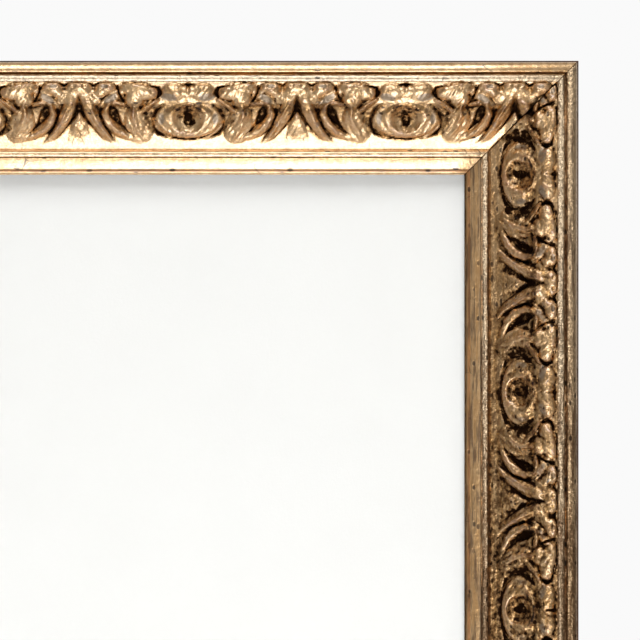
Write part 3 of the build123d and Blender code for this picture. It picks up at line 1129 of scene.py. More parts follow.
@dataclass(frozen=True)
class EyeMedallion:
    """The oval eye: a sloping outer band, a raised crest, a round bowl and its dark pupil."""

    centre: Point = (0.0, 19.3)
    halves: Point = (11.7, 6.4)
    bowl: Point = (5.3, 4.7)
    edge: Point = (0.6, 1.0)  # height of the outer edge towards the border, and towards the sight edge
    crest: Point = (2.1, 1.6)  # and of the crest
    low_from: float = 0.35  # share of the half height where the first turns into the second
    lean: float = 0.10  # how much the medallion turns to the front, in a millimetre
    crest_place: float = 0.20  # between the bowl and the outer edge
    crest_spread: float = 0.36
    edge_width: float = 0.16
    edge_round: float = 0.7
    bowl_depth: float = 2.3
    bowl_round: float = 0.75
    pupil: Point = (1.5, 2.4)
    pupil_shift: float = 0.4  # towards the border
    pupil_depth: float = 1.5
    pupil_round: float = 0.6

    def share(self, spots: Spots) -> np.ndarray:
        """Place between the bowl's rim, 0, and the outer edge, 1; negative inside the bowl.

        Args:
            spots: Places, measured from the nearest eye.

        Returns:
            The shares.
        """
        east, north = spots.along - self.centre[0], spots.across - self.centre[1]
        away = np.maximum(np.hypot(east, north), 0.01)  # clear of a division by 0
        outer, inner = (
            away / np.maximum(np.hypot(east / wide, north / tall), 0.0005)
            for wide, tall in (self.halves, self.bowl)
        )
        return np.where(away < inner, (away - inner) / inner, (away - inner) / (outer - inner))

    def hole(self, spots: Spots) -> np.ndarray:
        """Reach from the pupil's middle: 1 at its edge."""
        north = spots.across - self.centre[1] - self.pupil_shift
        return np.hypot((spots.along - self.centre[0]) / self.pupil[0], north / self.pupil[1])

    def field(self, spots: Spots) -> np.ndarray:
        """Height of the medallion above its ground.

        Args:
            spots: Places, measured from the nearest eye.

        Returns:
            Heights, 0 outside the medallion.
        """
        share = self.share(spots)
        north = (spots.across - self.centre[1]) / self.halves[1]
        low = np.clip(self.low_from - north, 0.0, 1.0)
        edge, crest = (high + (lower - high) * low for high, lower in (self.edge, self.crest))
        swell = np.exp(-(((np.maximum(share, 0.0) - self.crest_place) / self.crest_spread) ** 2))
        band = edge + (crest - edge) * swell - self.lean * self.halves[1] * north
        band *= ramp(share, 1.0, 1.0 - self.edge_width) ** self.edge_round
        bowl = np.clip(1 - (1 + np.minimum(share, 0.0)) ** 2, 0.0, 1.0) ** self.bowl_round
        pupil = np.clip(1 - self.hole(spots) ** 2, 0.0, 1.0) ** self.pupil_round
        return np.where(share < 1.0, band - self.bowl_depth * bowl - self.pupil_depth * pupil, 0.0)


@dataclass(frozen=True)
class OrnamentMotif:
    """One repeat of the ornament, drawn for the half between an eye and a fan and mirrored at both."""

    repeat: float = 76.8
    eye: EyeMedallion = EyeMedallion()
    lobes: tuple[Pillow, ...] = (
        Pillow((4.8, 28.7), (4.6, 3.1), 4.0, 2.0),  # beside the eye
        Pillow((0.0, 28.8), (3.2, 2.4), 0.0, 1.6),
        Pillow((0.0, 27.0), (9.6, 2.8), 0.0, 0.9),  # saddle above the eye
        Pillow((17.0, 29.2), (6.9, 3.1), 12.0, 2.3, 0.55),  # heart
        Pillow((18.9, 26.4), (3.5, 3.4), 0.0, 2.0, 0.6),
        Pillow((28.9, 30.2), (3.9, 2.6), -8.0, 2.2),  # beside the fan
        Pillow((31.0, 28.4), (2.4, 1.8), 0.0, 1.7),
        Pillow((38.4, 30.1), (4.7, 2.8), 0.0, 2.1),  # on the fan's axis
        Pillow((35.5, 27.0), (5.2, 3.0), 0.0, 1.4),  # collar above the fan
    )
    ridges: tuple[Stroke, ...] = (
        Stroke((
            (23.9, 28.9, 1.5, 0.9), (27.5, 26.2, 2.3, 1.1), (30.8, 23.8, 0.9, 0.9),
        )),  # saddle beside the heart
        Stroke(((11.0, 26.4, 1.1, 1.5), (14.4, 23.8, 1.2, 1.8), (17.4, 21.2, 0.9, 1.6))),
        Stroke((
            (18.9, 23.0, 1.8, 2.1), (18.8, 20.6, 3.6, 2.0), (18.2, 18.0, 4.6, 1.8),
            (17.0, 15.4, 4.6, 1.2), (15.6, 13.0, 3.2, 0.0),
        ), 0.8),  # husk
        Stroke((
            (19.2, 22.8, 0.9, 2.4), (19.3, 20.2, 1.3, 2.6), (18.2, 17.0, 1.6, 2.1),
            (16.4, 14.0, 1.3, 1.0), (14.6, 11.2, 0.5, 0.0),
        )),
        Stroke((
            (22.4, 24.5, 0.8, 1.7), (25.6, 25.1, 1.0, 2.2), (28.4, 23.9, 1.3, 2.4),
            (29.2, 21.0, 1.7, 2.4), (27.8, 17.8, 1.8, 2.1), (25.0, 15.2, 1.5, 1.6),
            (21.0, 13.2, 1.0, 0.9), (17.6, 12.2, 0.5, 0.2),
        )),  # leaf, curled over at its head
        Stroke((
            (35.6, 25.6, 2.0, 1.6), (34.6, 22.6, 2.5, 2.0), (33.0, 19.6, 2.4, 2.0),
            (31.4, 16.8, 2.1, 1.7), (29.2, 14.0, 1.6, 1.1), (26.2, 11.4, 0.6, 0.1),
        )),  # blade of the fan
        Stroke((
            (34.0, 22.2, 0.9, 2.1), (32.4, 19.0, 1.1, 2.5), (30.6, 16.2, 1.0, 2.1),
            (28.4, 13.4, 0.7, 1.0), (26.0, 11.0, 0.3, 0.0),
        )),
        Stroke(((38.4, 21.4, 0.9, 1.0), (38.4, 17.0, 3.0, 1.1), (38.4, 10.2, 5.2, 0.0)), 1.0),  # tongue
    )
    grooves: tuple[Stroke, ...] = (
        Stroke((
            (27.0, 23.6, 1.0, 2.4), (26.3, 21.6, 1.7, 3.0), (25.0, 19.3, 1.2, 2.0),
            (23.6, 17.4, 0.4, 0.8), (21.2, 15.0, 0.25, 0.6), (18.6, 13.2, 0.12, 0.1),
        )),  # hollow under the curl, and the slit beside the husk
        Stroke((
            (29.2, 25.9, 0.2, 0.3), (30.9, 23.4, 0.35, 0.7), (31.0, 20.8, 0.45, 1.0),
            (29.7, 17.6, 0.4, 0.8), (28.2, 15.0, 0.3, 0.6), (26.4, 12.6, 0.25, 0.4),
            (24.6, 11.0, 0.12, 0.0),
        )),
        Stroke((
            (38.4, 27.4, 0.5, 0.5), (38.4, 25.2, 1.0, 1.5), (38.0, 22.6, 0.7, 1.3),
            (36.4, 20.2, 0.4, 0.8), (34.4, 17.6, 0.3, 0.6), (32.6, 15.4, 0.25, 0.4),
            (30.8, 13.2, 0.12, 0.0),
        )),
        Stroke((
            (8.6, 24.6, 0.4, 0.6), (11.2, 22.6, 0.75, 1.1), (12.6, 19.6, 0.5, 0.8),
            (12.1, 16.6, 0.35, 0.8), (10.6, 14.7, 0.75, 1.3), (7.4, 13.2, 0.25, 0.4),
            (3.6, 12.7, 0.15, 0.2), (0.0, 12.6, 0.15, 0.2),
        ), 1.0),  # crescent beside the eye
        Stroke(((0.0, 31.7, 0.5, 1.4), (2.4, 31.5, 0.2, 0.3))),
        Stroke(((0.0, 31.4, 0.9, 1.2), (0.0, 28.4, 0.5, 0.4))),
        Stroke((
            (23.8, 32.1, 0.25, 0.8), (20.8, 32.3, 0.35, 1.0), (17.4, 31.6, 0.25, 0.7),
            (13.4, 30.8, 0.25, 0.8), (10.5, 30.5, 0.45, 1.5), (9.9, 28.6, 0.85, 2.1),
            (10.9, 26.8, 0.5, 1.5), (14.0, 24.9, 0.25, 0.6),
        )),  # outline of the heart
        Stroke(((14.0, 24.9, 0.3, 0.9), (17.0, 23.0, 0.15, 0.2))),
        Stroke((
            (24.7, 31.2, 0.3, 0.8), (24.4, 28.6, 0.5, 1.5), (23.0, 25.9, 0.35, 0.9),
            (21.2, 24.0, 0.15, 0.2),
        )),
        Stroke((
            (24.9, 29.8, 0.35, 1.2), (25.6, 31.4, 0.3, 0.9), (27.8, 32.3, 0.25, 0.7),
            (30.6, 32.3, 0.25, 0.7), (33.3, 31.1, 0.45, 1.2), (35.0, 32.2, 0.25, 0.7),
            (38.4, 32.5, 0.25, 0.7),
        )),  # scallops of the lobes beside the fan
    )
    # Lines in the hollows along which shadow is painted in torn blots
    tone_and_shade: tuple[Stroke, ...] = (
        Stroke((
            (9.4, 23.8, 1.0, 1.0), (12.4, 21.6, 2.4, 1.0), (13.8, 18.8, 2.8, 1.0),
            (12.8, 16.0, 2.0, 1.0), (10.8, 14.6, 1.3, 1.0),
        )),
        Stroke((
            (27.2, 23.4, 1.8, 1.0), (26.2, 21.2, 2.5, 1.0), (24.6, 18.6, 1.7, 1.0),
            (21.8, 15.4, 0.7, 1.0),
        )),
        Stroke((
            (38.4, 26.6, 0.9, 1.0), (38.2, 23.4, 1.4, 1.0), (36.8, 20.2, 1.0, 1.0),
            (35.4, 18.0, 0.5, 1.0),
        )),
    )
    dimples: tuple[Pillow, ...] = (
        Pillow((29.4, 30.8), (1.6, 0.8), 0.0, 0.7),
        Pillow((36.6, 30.9), (0.9, 0.7), 0.0, 0.6),
    )
    thin_leaf: tuple[Pillow, ...] = (
        Pillow((27.4, 26.3), (3.4, 1.6), -37.0, 1.0),
        Pillow((6.8, 27.0), (3.6, 1.6), 10.0, 1.0),
        Pillow((29.4, 30.8), (1.6, 0.9), 0.0, 1.0),
        Pillow((9.5, 19.9), (1.4, 3.0), 0.0, 0.9),
        Pillow((30.9, 17.8), (1.0, 2.0), 30.0, 0.7),
    )
    softness: float = 3.2  # higher joins the forms more sharply
    floor: float = -1.6  # deepest cut below the ground
    tip_zone: Point = (9.6, 16.0)  # where the leaves' tips run out on the cove
    lump: Point = (0.26, 0.28)  # depth, and swells in a millimetre
    crumple: Point = (0.36, 0.72)  # the same for the small dents, which lie in patches
    patches: Triple = (0.55, 1.6, 0.16)  # even share, unevenness, and patches in a millimetre
    crinkle: Point = (0.50, 1.05)  # and for the streaks along the leaves
    crinkle_turn: Point = (0.8, 0.6)  # lean of the leaves
    crinkle_stretch: float = 0.22
    half_shift: float = 40.0  # keeps the two halves of a repeat unlike
    leaf_zone: Point = (12.0, 16.0)  # where the leaves begin beside the eye
    leaf_head: Point = (26.0, 24.0)  # and below the border
    blot_tears: tuple[Point, ...] = ((0.8, 0.45), (0.6, 1.1))  # depth, and tears in a millimetre
    blot_edge: Triple = (1.5, 0.35, 4.0)  # strength of a blot, what its edge loses, and how soon it is torn
    bowl_shade: Triple = (0.28, 0.5, 0.6)  # painted shade at the bowl's middle, its rise to the border, and the most
    bowl_wall: float = 0.25  # how far inside the rim it is full
    rim_shade: Triple = (0.62, 0.10, 0.30)  # depth, place and spread of the painted shade on the bowl's rim
    rim_rise: float = 1.4  # towards the border
    pupil_shadow: Triple = (1.8, 0.9, 0.55)  # reach of the painted black shadow in the pupil, its tears, and tears in a millimetre

    def relief(self, spots: Spots) -> np.ndarray:
        """Height above the ornament's ground.

        Args:
            spots: Places, measured from any eye.

        Returns:
            Heights.
        """
        near = spots.folded(self.repeat)
        eye = self.eye.field(near)
        tips = ramp(spots.across, *self.tip_zone)
        tips *= 2 - tips
        raised = (tips * form.field(near) for form in (*self.lobes, *self.ridges))
        joined = sum(form**self.softness for form in (np.maximum(eye, 0.0), *raised)) ** (1 / self.softness)
        joined += np.minimum(eye, 0.0)
        cut = np.max([groove.field(near) for groove in (*self.grooves, *self.dimples)], axis=0)
        lumps = self.lump[0] * spots.swell(self.lump[1])
        even, uneven, spread = self.patches
        patches = np.clip(even + uneven * spots.swell(spread), 0.0, 1.0)
        dents = self.crumple[0] * patches * spots.swell(self.crumple[1])
        body = np.clip(joined, 0.0, 1.0)
        return np.maximum(joined - cut, self.floor) + body * (lumps + dents + self._streaks(spots))

    def _streaks(self, spots: Spots) -> np.ndarray:
        """Tool marks that run down the leaves.

        Args:
            spots: Places, measured from any eye.

        Returns:
            Heights about 0.
        """
        turn, across = spots.folded(self.repeat).along, spots.across
        leaning = ramp(turn, *self.leaf_zone) * ramp(across, *self.leaf_head)
        half = np.floor(spots.along / (self.repeat / 2)) * self.half_shift
        lean_in, lean_out = self.crinkle_turn
        beside = lean_in * turn - lean_out * across + half
        down = (lean_out * turn + lean_in * across) * self.crinkle_stretch
        return self.crinkle[0] * (0.5 + 0.5 * leaning) * Spots(beside, down).swell(self.crinkle[1])

    def shadow_blots(self, spots: Spots) -> np.ndarray:
        """Blots of painted shadow in the hollows, with torn edges.

        Args:
            spots: Places, measured from any eye.

        Returns:
            Tone, 0 to 1.
        """
        near = spots.folded(self.repeat)
        blots = np.max([stroke.field(near) for stroke in self.tone_and_shade], axis=0)
        torn = sum(depth * spots.swell(scale) for depth, scale in self.blot_tears)
        strength, loss, tearing = self.blot_edge
        return np.clip(blots * strength - loss + torn * np.clip(blots * tearing, 0.0, 1.0), 0.0, 1.0)

    def bowl_shading(self, spots: Spots) -> np.ndarray:
        """Painted shade in the eyes' bowls and on their rims, heavier towards the border, with the pupils
        painted black.

        Args:
            spots: Places, measured from any eye.

        Returns:
            Tone, 0 to 1.
        """
        near = spots.folded(self.repeat)
        share = self.eye.share(near)
        north = (spots.across - self.eye.centre[1]) / self.eye.bowl[1]
        middle, rise, most = self.bowl_shade
        inside = ramp(share, 0.0, -self.bowl_wall) * np.clip(middle + north * rise, 0.0, most)
        depth, place, spread = self.rim_shade
        rim = depth * np.exp(-(((share - place) / spread) ** 2)) * np.clip(north * self.rim_rise, 0.0, 1.0)
        reach, tear, scale = self.pupil_shadow
        blot = np.clip(reach - self.eye.hole(near) + tear * spots.swell(scale), 0.0, 1.0)
        return np.max([inside, blot, rim], axis=0)

    def thinned(self, spots: Spots) -> np.ndarray:
        """Share of clay that shows where the leaf is thin, 0 to 1."""
        near = spots.folded(self.repeat)
        return np.max([patch.field(near) for patch in self.thin_leaf], axis=0)


def blurred(heights: np.ndarray, reach: float) -> np.ndarray:
    """Soften a grid of heights.

    Args:
        heights: Heights on a grid.
        reach: Spread in cells.

    Returns:
        The softened heights.
    """
    size = max(1, math.ceil(reach * 2.5))
    weights = np.exp(-0.5 * (np.arange(-size, size + 1) / reach) ** 2)
    weights /= weights.sum()
    soft = heights
    for axis in (0, 1):
        count = soft.shape[axis]
        padded = np.pad(soft, [(size, size) if axis == a else (0, 0) for a in (0, 1)], mode="edge")
        soft = sum(w * np.take(padded, range(k, k + count), axis=axis) for k, w in enumerate(weights))
    return soft


@dataclass
class OrnamentStrip:
    """The pressed ornament of one rail, seated in the moulding's bed."""

    place: RailPlace
    section: Moulding
    motif: OrnamentMotif
    cell: float = 0.36
    ceiling: float = 23.4
    edge_fade: Point = (0.9, 0.8)  # how wide the relief runs out at the cove's foot, and at the fillet
    fillet_margin: float = 2.0  # how much of the fillet counts when hollows are looked for
    spreads: Point = (0.9, 2.2)  # of the near and the wide look for hollows
    near_hollow: Point = (0.03, 0.68)  # depth where toning and painted shade begin, and where they are full
    wide_hollow: Point = (0.25, 2.05)
    hollow_tone: float = 0.7  # of each look
    proud_rise: Point = (0.05, 0.35)  # height where the leaf begins to be rubbed, and where it is bare
    proud_clear: float = 0.8  # share of the side rails' painted shade that is left off there
    mitre_tone: float = 0.35  # how far the toning reaches from the mitre
    mitre_sink: float = 0.25
    steep_shade: Point = (0.34, 0.40)  # painted shade on the steep part of the cove: top and bottom, and sides
    steep_from: Point = (18.5, 22.0)
    steep_to: Point = (26.5, 24.5)
    blot_shade: Point = (0.45, 0.95)  # painted shadow of the blots in the hollows, likewise
    shade_tone: float = 0.44  # painted shade all over the side rails
    corner_shade: float = 0.26  # what is left of it near the corners
    grit: float = 0.36
    crease: float = math.radians(75.0)

    def build(self) -> bpy.types.Mesh:
        """Raise the relief from a grid and close it down to the bed.

        Returns:
            The strip's mesh, in place.
        """
        section, half = self.section, self.place.half_length
        start, end = section.cove_start[0], section.border_end
        columns = int(round(2 * half / self.cell))
        rows = int(round((end - start) / self.cell))
        sheet = bmesh.new()
        bmesh.ops.create_grid(sheet, x_segments=columns, y_segments=rows, size=1.0)
        mesh = mesh_of(sheet, f"{self.place.side.value}_relief")
        flat = np.empty(len(mesh.vertices) * 3)
        mesh.vertices.foreach_get("co", flat)
        east, north, _ = flat.reshape(-1, 3).T
        across = start + (end - start) * (north + 1) / 2
        reach = half - section.width + across
        along = east * reach
        spots = Spots(along - (self.place.first_eye - half), across)
        height = section.ground(across) + self.motif.relief(spots)
        height = np.minimum(self._joined_edges(across, height), self.ceiling)

        cells = np.rint((north + 1) / 2 * rows).astype(int), np.rint((east + 1) / 2 * columns).astype(int)
        grid = np.empty((rows + 1, columns + 1))
        grid[cells] = height
        hollow, proud = (values[cells] for values in self._forms(grid))
        at_mitre = np.clip(1 - (reach - np.abs(along)) / math.sqrt(2) / self.mitre_tone, 0.0, 1.0)
        side_shade = self._side_shade(along) * (1 - self.proud_clear * proud)
        steep = ramp(across, *self.steep_from) * ramp(across, *self.steep_to)
        pick = self.place.grain.pick
        # Tone of each point: toning and painted shade in the hollows, painted shade on the side rails and
        # the steep cove, in the eyes' bowls and in blots, and the dark mitre joint.
        tones = [
            np.clip(hollow + side_shade, 0.0, 1.0),
            pick(*self.steep_shade) * steep,
            self.motif.bowl_shading(spots),
            pick(*self.blot_shade) * self.motif.shadow_blots(spots),
            at_mitre,
        ]
        recess = np.max(tones, axis=0)
        height -= self.mitre_sink * at_mitre

        mesh.vertices.foreach_set("co", np.column_stack((along, across, height)).ravel())
        thin = self.motif.thinned(spots) * (1 - recess)
        sandy = self.grit * (1 - thin)
        for name, values in ((RECESS, recess), (WEAR, proud), (THIN, thin), (SANDY, sandy)):
            mesh.attributes.new(name, "FLOAT", "POINT").data.foreach_set("value", values.astype(np.float32))
        return self._closed(mesh)

    def _side_shade(self, along: np.ndarray) -> np.ndarray:
        """Painted shade that the side rails get; the top and bottom rails have none."""
        kept = self.corner_shade + (self.shade_tone - self.corner_shade) * self.place.side_shade_share(along)
        return self.place.grain.pick(0.0, 1.0) * kept

    def _forms(self, grid: np.ndarray) -> tuple[np.ndarray, np.ndarray]:
        """How hollow and how proud each place lies against what is around it.

        Args:
            grid: Heights, in rows from the cove's foot to the fillet.

        Returns:
            Two grids of shares, 0 to 1.
        """
        rows, columns = grid.shape
        margin = int(round(self.fillet_margin / self.cell))
        framed = np.vstack([grid, np.full((margin, columns), self.section.fillet_height)])
        near, wide = (blurred(framed, spread / self.cell)[:rows] for spread in self.spreads)
        hollow = ramp(near - grid, *self.near_hollow) + ramp(wide - grid, *self.wide_hollow)
        return np.clip(self.hollow_tone * hollow, 0.0, 1.0), ramp(grid - near, *self.proud_rise)

    def _joined_edges(self, across: np.ndarray, height: np.ndarray) -> np.ndarray:
        """Bring the relief down to its ground at both edges of the strip.

        Args:
            across: Distances from the sight edge.
            height: Heights from the back.

        Returns:
            The heights, faded at the edges.
        """
        start, end = self.section.cove_start[0], self.section.border_end
        inner, outer = self.edge_fade
        ground = self.section.ground(across)
        fade = np.minimum(ramp(across, start, start + inner), ramp(across, end, end - outer))
        return ground + (height - ground) * fade * fade * (3 - 2 * fade)

    def _closed(self, mesh: bpy.types.Mesh) -> bpy.types.Mesh:
        """Give the relief its sides and its flat back.

        Args:
            mesh: The open relief in the rail's own millimetres.

        Returns:
            The closed mesh, in place.
        """
        body = bmesh.new()
        body.from_mesh(mesh)
        for face in body.faces:
            face.smooth = True
        rim = [edge for edge in body.edges if edge.is_boundary]
        grown = bmesh.ops.extrude_edge_only(body, edges=rim)
        lowered = [item for item in grown["geom"] if isinstance(item, bmesh.types.BMVert)]
        for vert in lowered:
            vert.co.z = float(self.section.bed(np.array(vert.co.y)))
        back = bmesh.ops.holes_fill(body, edges=[edge for edge in body.edges if edge.is_boundary])["faces"]
        edges = {edge for face in back for edge in face.edges}
        verts = {vert for face in back for vert in face.verts}
        bend = Vector((0.0, self.section.cove_end[0], 0.0))
        bmesh.ops.bisect_plane(body, geom=[*back, *edges, *verts], plane_co=bend, plane_no=(0.0, 1.0, 0.0))
        bmesh.ops.transform(body, matrix=self.place.matrix(), verts=body.verts)
        bmesh.ops.recalc_face_normals(body, faces=body.faces)
        body.to_mesh(mesh)
        body.free()
        mesh.set_sharp_from_angle(angle=self.crease)
        return mesh

    def dress(self, mesh: bpy.types.Mesh, gilt: bpy.types.Material) -> None:
        """Place the closed strip in the scene, in its finish."""
        add_piece(mesh, [gilt], f"{self.place.side.value}_ornament")


# Picture pack and hardware


def repaint(node: bpy.types.Object, material: bpy.types.Material) -> None:
    """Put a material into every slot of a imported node.

    Args:
        node: The node's object.
        material: Its new finish.
    """
    for slot in node.material_slots:
        slot.material = material
    log.info("%s: %s", node.name, material.name)


@dataclass
class PicturePack:
    """Glass and insert, re-cut with seamed edges and a hair of air between them, and the backing board."""

    nodes: Mapping[str, bpy.types.Object]
    seam: float = 0.3  # rubbed-down edge of the glass
    air: float = 0.06  # how far each face of the glass and the sheet lies inside its packed face
    trim: float = 0.2  # how far the sheet's cut edge lies inside its packed edge

    def build(self, node: str, name: str, trim: float = 0.0, seam: float = 0.0) -> bpy.types.Mesh:
        """Cut one sheet to its packed box.

        Args:
            node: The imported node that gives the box.
            name: The new mesh's name.
            trim: How far the edges stay inside, in millimetres.
            seam: Width of the rubbed edge, in millimetres, or 0.

        Returns:
            The mesh, in place.
        """
        low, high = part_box(node)
        inset = Vector((trim, self.air, trim)) * MM
        low, high = low + inset, high - inset
        sheet = bmesh.new()
        bmesh.ops.create_cube(sheet, size=1.0)
        bmesh.ops.scale(sheet, vec=high - low, verts=sheet.verts)
        bmesh.ops.translate(sheet, vec=(low + high) / 2, verts=sheet.verts)
        if seam:
            rims, width = list(sheet.edges), seam * MM
            bmesh.ops.bevel(
                sheet, geom=rims, offset=width, segments=2, profile=0.5, material=-1, affect="EDGES"
            )
        return mesh_of(sheet, name)

    def dress(self) -> None:
        """Place the sheets and give each its finish."""
        glass = self.build("glass_pane", "picture_glass", seam=self.seam)
        add_piece(glass, [WindowGlass().build()], "glass_pane")
        paper = self.build("insert_sheet", "white_insert", trim=self.trim)
        add_piece(paper, [WhitePaper().build()], "insert_sheet")
        repaint(self.nodes["backing_board"], Hardboard().build())


@dataclass(frozen=True)
class PanScrews:
    """Pan-head screws with a cross recess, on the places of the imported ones, in millimetres."""

    head_radius: float = 3.2
    head_height: float = 1.8
    shank_radius: float = 1.5
    tip: float = 1.6  # length of the point
    rim: float = 0.55  # round of the head's edge
    crown: float = 0.25  # how much lower the edge is than the middle
    arm_reach: float = 1.9
    arm_half: float = 0.42
    arm_wall: float = 0.16  # width of the recess's sloping wall
    depth: float = 1.15
    rings: int = 22
    steps: int = 48
    turn: float = math.radians(38.0)  # from one screw to the next
    crease: float = math.radians(40.0)

    def _profile(self, length: float) -> list[Point]:
        """Half section from the head's middle to the point.

        Args:
            length: Length over all.

        Returns:
            Radii, and distances from the top of the head.
        """
        points = []
        for radius in np.linspace(0.0, self.head_radius, self.rings):
            into_rim = max(0.0, radius - self.head_radius + self.rim)
            round_off = self.rim - math.sqrt(max(0.0, self.rim**2 - into_rim**2))
            points.append((radius, self.crown * (radius / self.head_radius) ** 2 + round_off))
        points += [(self.head_radius, self.head_height), (self.shank_radius, self.head_height)]
        points += [(self.shank_radius, length - self.tip), (0.0, length)]
        return points

    def _recess(self, east: float, north: float) -> float:
        """Depth of the cross at a point of the head's top.

        Args:
            east: Distance from the screw's axis.
            north: Distance from it at right angles to that.

        Returns:
            The depth.
        """
        away = math.hypot(east, north)
        beside = min(abs(east), abs(north))
        wall = min(1.0, max(0.0, (self.arm_half - beside) / self.arm_wall + 0.5))
        end = min(1.0, max(0.0, (self.arm_reach - away) / (2 * self.arm_wall)))
        return self.depth * wall * end * (1.0 - 0.5 * away / self.arm_reach)

    def _single(self, length: float) -> bpy.types.Mesh:
        """Turn one screw and cut its recess.

        Args:
            length: Length over all.

        Returns:
            The screw along Y, with the top of its head at the origin.
        """
        screw = bmesh.new()
        chain = [screw.verts.new((radius, -drop, 0.0)) for radius, drop in self._profile(length)]
        line = [*chain, *(screw.edges.new(pair) for pair in zip(chain, chain[1:]))]
        axis = (0.0, 1.0, 0.0)
        bmesh.ops.spin(screw, geom=line, axis=axis, angle=math.tau, steps=self.steps, use_merge=True)
        bmesh.ops.remove_doubles(screw, verts=screw.verts, dist=0.001)
        for vert in screw.verts:
            if vert.co.y > -self.crown:
                vert.co.y -= self._recess(vert.co.x, vert.co.z)
        bmesh.ops.recalc_face_normals(screw, faces=screw.faces)
        for face in screw.faces:
            face.smooth = True
        return mesh_of(screw, "pan_screw")

    def build(self) -> bpy.types.Mesh:
        """Set the four screws.

        Returns:
            The screws' mesh, in place.
        """
        low, high = (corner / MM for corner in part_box("button_screws"))
        single = self._single(high.y - low.y)
        places = [
            (east, north)
            for east in (low.x + self.head_radius, high.x - self.head_radius)
            for north in (low.z + self.head_radius, high.z - self.head_radius)
        ]
        body = bmesh.new()
        for count, (east, north) in enumerate(places):
            first = len(body.verts)
            body.from_mesh(single)
            added = list(body.verts)[first:]
            bmesh.ops.rotate(body, matrix=Matrix.Rotation(count * self.turn, 3, "Y"), verts=added)
            bmesh.ops.translate(body, vec=(east, high.y, north), verts=added)
        bmesh.ops.scale(body, vec=(MM, MM, MM), verts=body.verts)
        bpy.data.meshes.remove(single)
        mesh = mesh_of(body, "pan_screws")
        mesh.set_sharp_from_angle(angle=self.crease)
        return mesh


@dataclass
class RearHardware:
    """Turn buttons, hangers, corner nails and pads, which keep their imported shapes, and the screws."""

    nodes: Mapping[str, bpy.types.Object]
    zinc: PlatedSteel = PlatedSteel("zinc_plate", rgb(0.62, 0.62, 0.60), rgb(0.40, 0.40, 0.39), 0.32)
    screw: PlatedSteel = PlatedSteel("screw_plate", rgb(0.66, 0.58, 0.40), rgb(0.46, 0.38, 0.24), 0.28)
    hanger: PlatedSteel = PlatedSteel("hanger_plate", rgb(0.60, 0.50, 0.30), rgb(0.40, 0.31, 0.17), 0.30)

    def dress(self) -> None:
        """Give each fitting its finish."""
        zinc, screw, hanger = self.zinc.build(), self.screw.build(), self.hanger.build()
        felt = PadFelt().build()
        for name, node in self.nodes.items():
            if name.startswith("turn_button") or name == "v_nails":
                repaint(node, zinc)
            elif name.startswith("hanger"):
                repaint(node, hanger)
            elif name == "wall_pads":
                repaint(node, felt)
        add_piece(PanScrews().build(), [screw], "button_screws")


# Studio, in metres


@dataclass(frozen=True)
class SoftBox:
    """A flat studio lamp: where its middle lies as seen from the target, its size and its brightness."""

    name: str
    azimuth: float  # degrees to the right of the camera
    elevation: float  # degrees above the camera
    distance: float
    size: Point
    radiance: float

    def build(self, target: Vector) -> None:
        """Hang the lamp so that it faces the target.

        Args:
            target: Point the lamp faces, in metres.
        """
        lamp = bpy.data.lights.new(self.name, "AREA")
        lamp.shape = "RECTANGLE"
        lamp.size, lamp.size_y = self.size
        lamp.energy = self.radiance * math.pi * self.size[0] * self.size[1]
        turn, lift = math.radians(self.azimuth), math.radians(self.elevation)
        away = Vector((math.sin(turn) * math.cos(lift), -math.cos(turn) * math.cos(lift), math.sin(lift)))
        rig = bpy.data.objects.new(self.name, lamp)
        rig.location = target + away * self.distance
        rig.rotation_mode = "QUATERNION"
        rig.rotation_quaternion = (-away).to_track_quat("-Z", "Y")
        rig.visible_camera = False
        bpy.context.scene.collection.objects.link(rig)


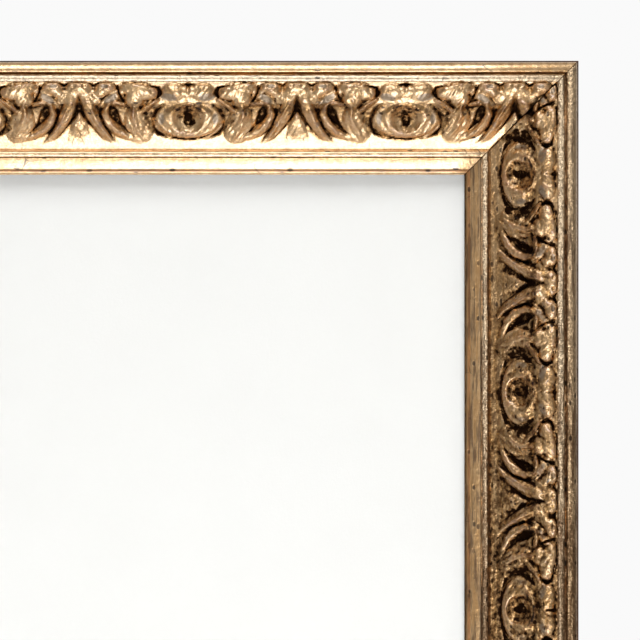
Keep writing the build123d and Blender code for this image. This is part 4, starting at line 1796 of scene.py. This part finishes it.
@dataclass
class Studio:
    """Pale floor, soft light and the camera at the photograph's view."""

    view_middle: Triple = (0.09386, -0.0225, -0.07738)
    view_width: float = 0.2255
    camera_distance: float = 2.2
    sensor: float = 36.0  # millimetres
    floor_height: float = -1.1
    floor_size: float = 14.0
    room: Colour = rgb(1.0, 0.92, 0.80)  # warm light from the room in front
    white: Colour = rgb(1.0, 1.0, 1.0)
    world_side: float = 0.13
    world_middle: float = 0.26
    world_back: float = 0.825
    side_range: Point = (0.95, 0.50)  # how far sideways the light of the middle ends, and where it is full
    back_range: Point = (0.45, 0.92)  # where the wall of light begins behind, and where it is full
    boxes: tuple[SoftBox, ...] = (
        SoftBox("low_box", 0.0, -37.0, 1.10, (0.42, 0.76), 5.0),
        SoftBox("high_box", 0.0, 50.0, 1.60, (0.70, 1.00), 3.9),
    )

    def build(self) -> None:
        """Set up everything that isn't the object."""
        self._floor()
        self._world()
        for box in self.boxes:
            box.build(Vector(self.view_middle))
        self._camera()
        bpy.context.scene.view_settings.view_transform = "Standard"

    def _floor(self) -> None:
        """Lay the pale floor."""
        sheet = bmesh.new()
        bmesh.ops.create_grid(sheet, x_segments=1, y_segments=1, size=self.floor_size / 2)
        bmesh.ops.translate(sheet, verts=sheet.verts, vec=(0.0, 0.0, self.floor_height))
        mesh = mesh_of(sheet, "studio_floor")
        mesh.materials.append(FloorPaint().build())
        floor = bpy.data.objects.new("studio_floor", mesh)
        bpy.context.scene.collection.objects.link(floor)

    def _world(self) -> None:
        """Light the room evenly, with a white wall of light behind the object."""
        world = bpy.data.worlds.new("studio_world")
        bpy.context.scene.world = world
        world.use_nodes = True
        book = NodeBook(world.node_tree)
        direction = book.make("ShaderNodeTexCoord").outputs["Generated"]
        split = book.make("ShaderNodeSeparateXYZ", {0: direction})
        sideways = Wire(book, split.outputs[0]).size()
        behind = Wire(book, split.outputs[1]).step(*self.back_range)
        front = self.world_side + sideways.step(*self.side_range) * self.world_middle
        level = front * (1.0 - behind) + behind * (self.world_side + self.world_back)
        colour = book.tint(behind, self.room, self.white)
        light = book.make("ShaderNodeBackground", {"Color": colour, "Strength": level})
        book.make("ShaderNodeOutputWorld", {"Surface": light.outputs[0]})

    def _camera(self) -> None:
        """Set the camera square to the frame's face, looking along +Y."""
        data = bpy.data.cameras.new("photo_camera")
        data.sensor_width = self.sensor
        data.lens = self.sensor * self.camera_distance / self.view_width
        rig = bpy.data.objects.new("photo_camera", data)
        x, y, z = self.view_middle
        rig.location = (x, y - self.camera_distance, z)
        rig.rotation_euler = (math.pi / 2, 0.0, 0.0)
        bpy.context.scene.collection.objects.link(rig)
        bpy.context.scene.camera = rig


def main() -> None:
    """Build and dress every sub-assembly in order."""
    logging.basicConfig(level=logging.INFO)
    section, motif = Moulding(), OrnamentMotif()
    pressed = AntiqueGilt(
        "ornament_gilt", crack_depth=0.0, streaked=False, crumple=1.4, blackened=(0.50, 0.86)
    )
    gilt, relief_gilt, umber, bare = (
        {grain: replace(finish, grain=grain).build() for grain in Grain}
        for finish in (AntiqueGilt(), pressed, UmberEdge(), BareWood())
    )
    for place in FrameLayout().places():
        grain = place.grain
        rail = MouldingRail(place, section)
        finishes = {Layer.GILT: gilt[grain], Layer.UMBER: umber[grain], Layer.BARE: bare[grain]}
        rail.dress(rail.build(), finishes)
        strip = OrnamentStrip(place, section, motif)
        strip.dress(strip.build(), relief_gilt[grain])
    PicturePack(frame["nodes"]).dress()
    RearHardware(frame["nodes"]).dress()
    Studio().build()


if __name__ == "__main__":
    main()
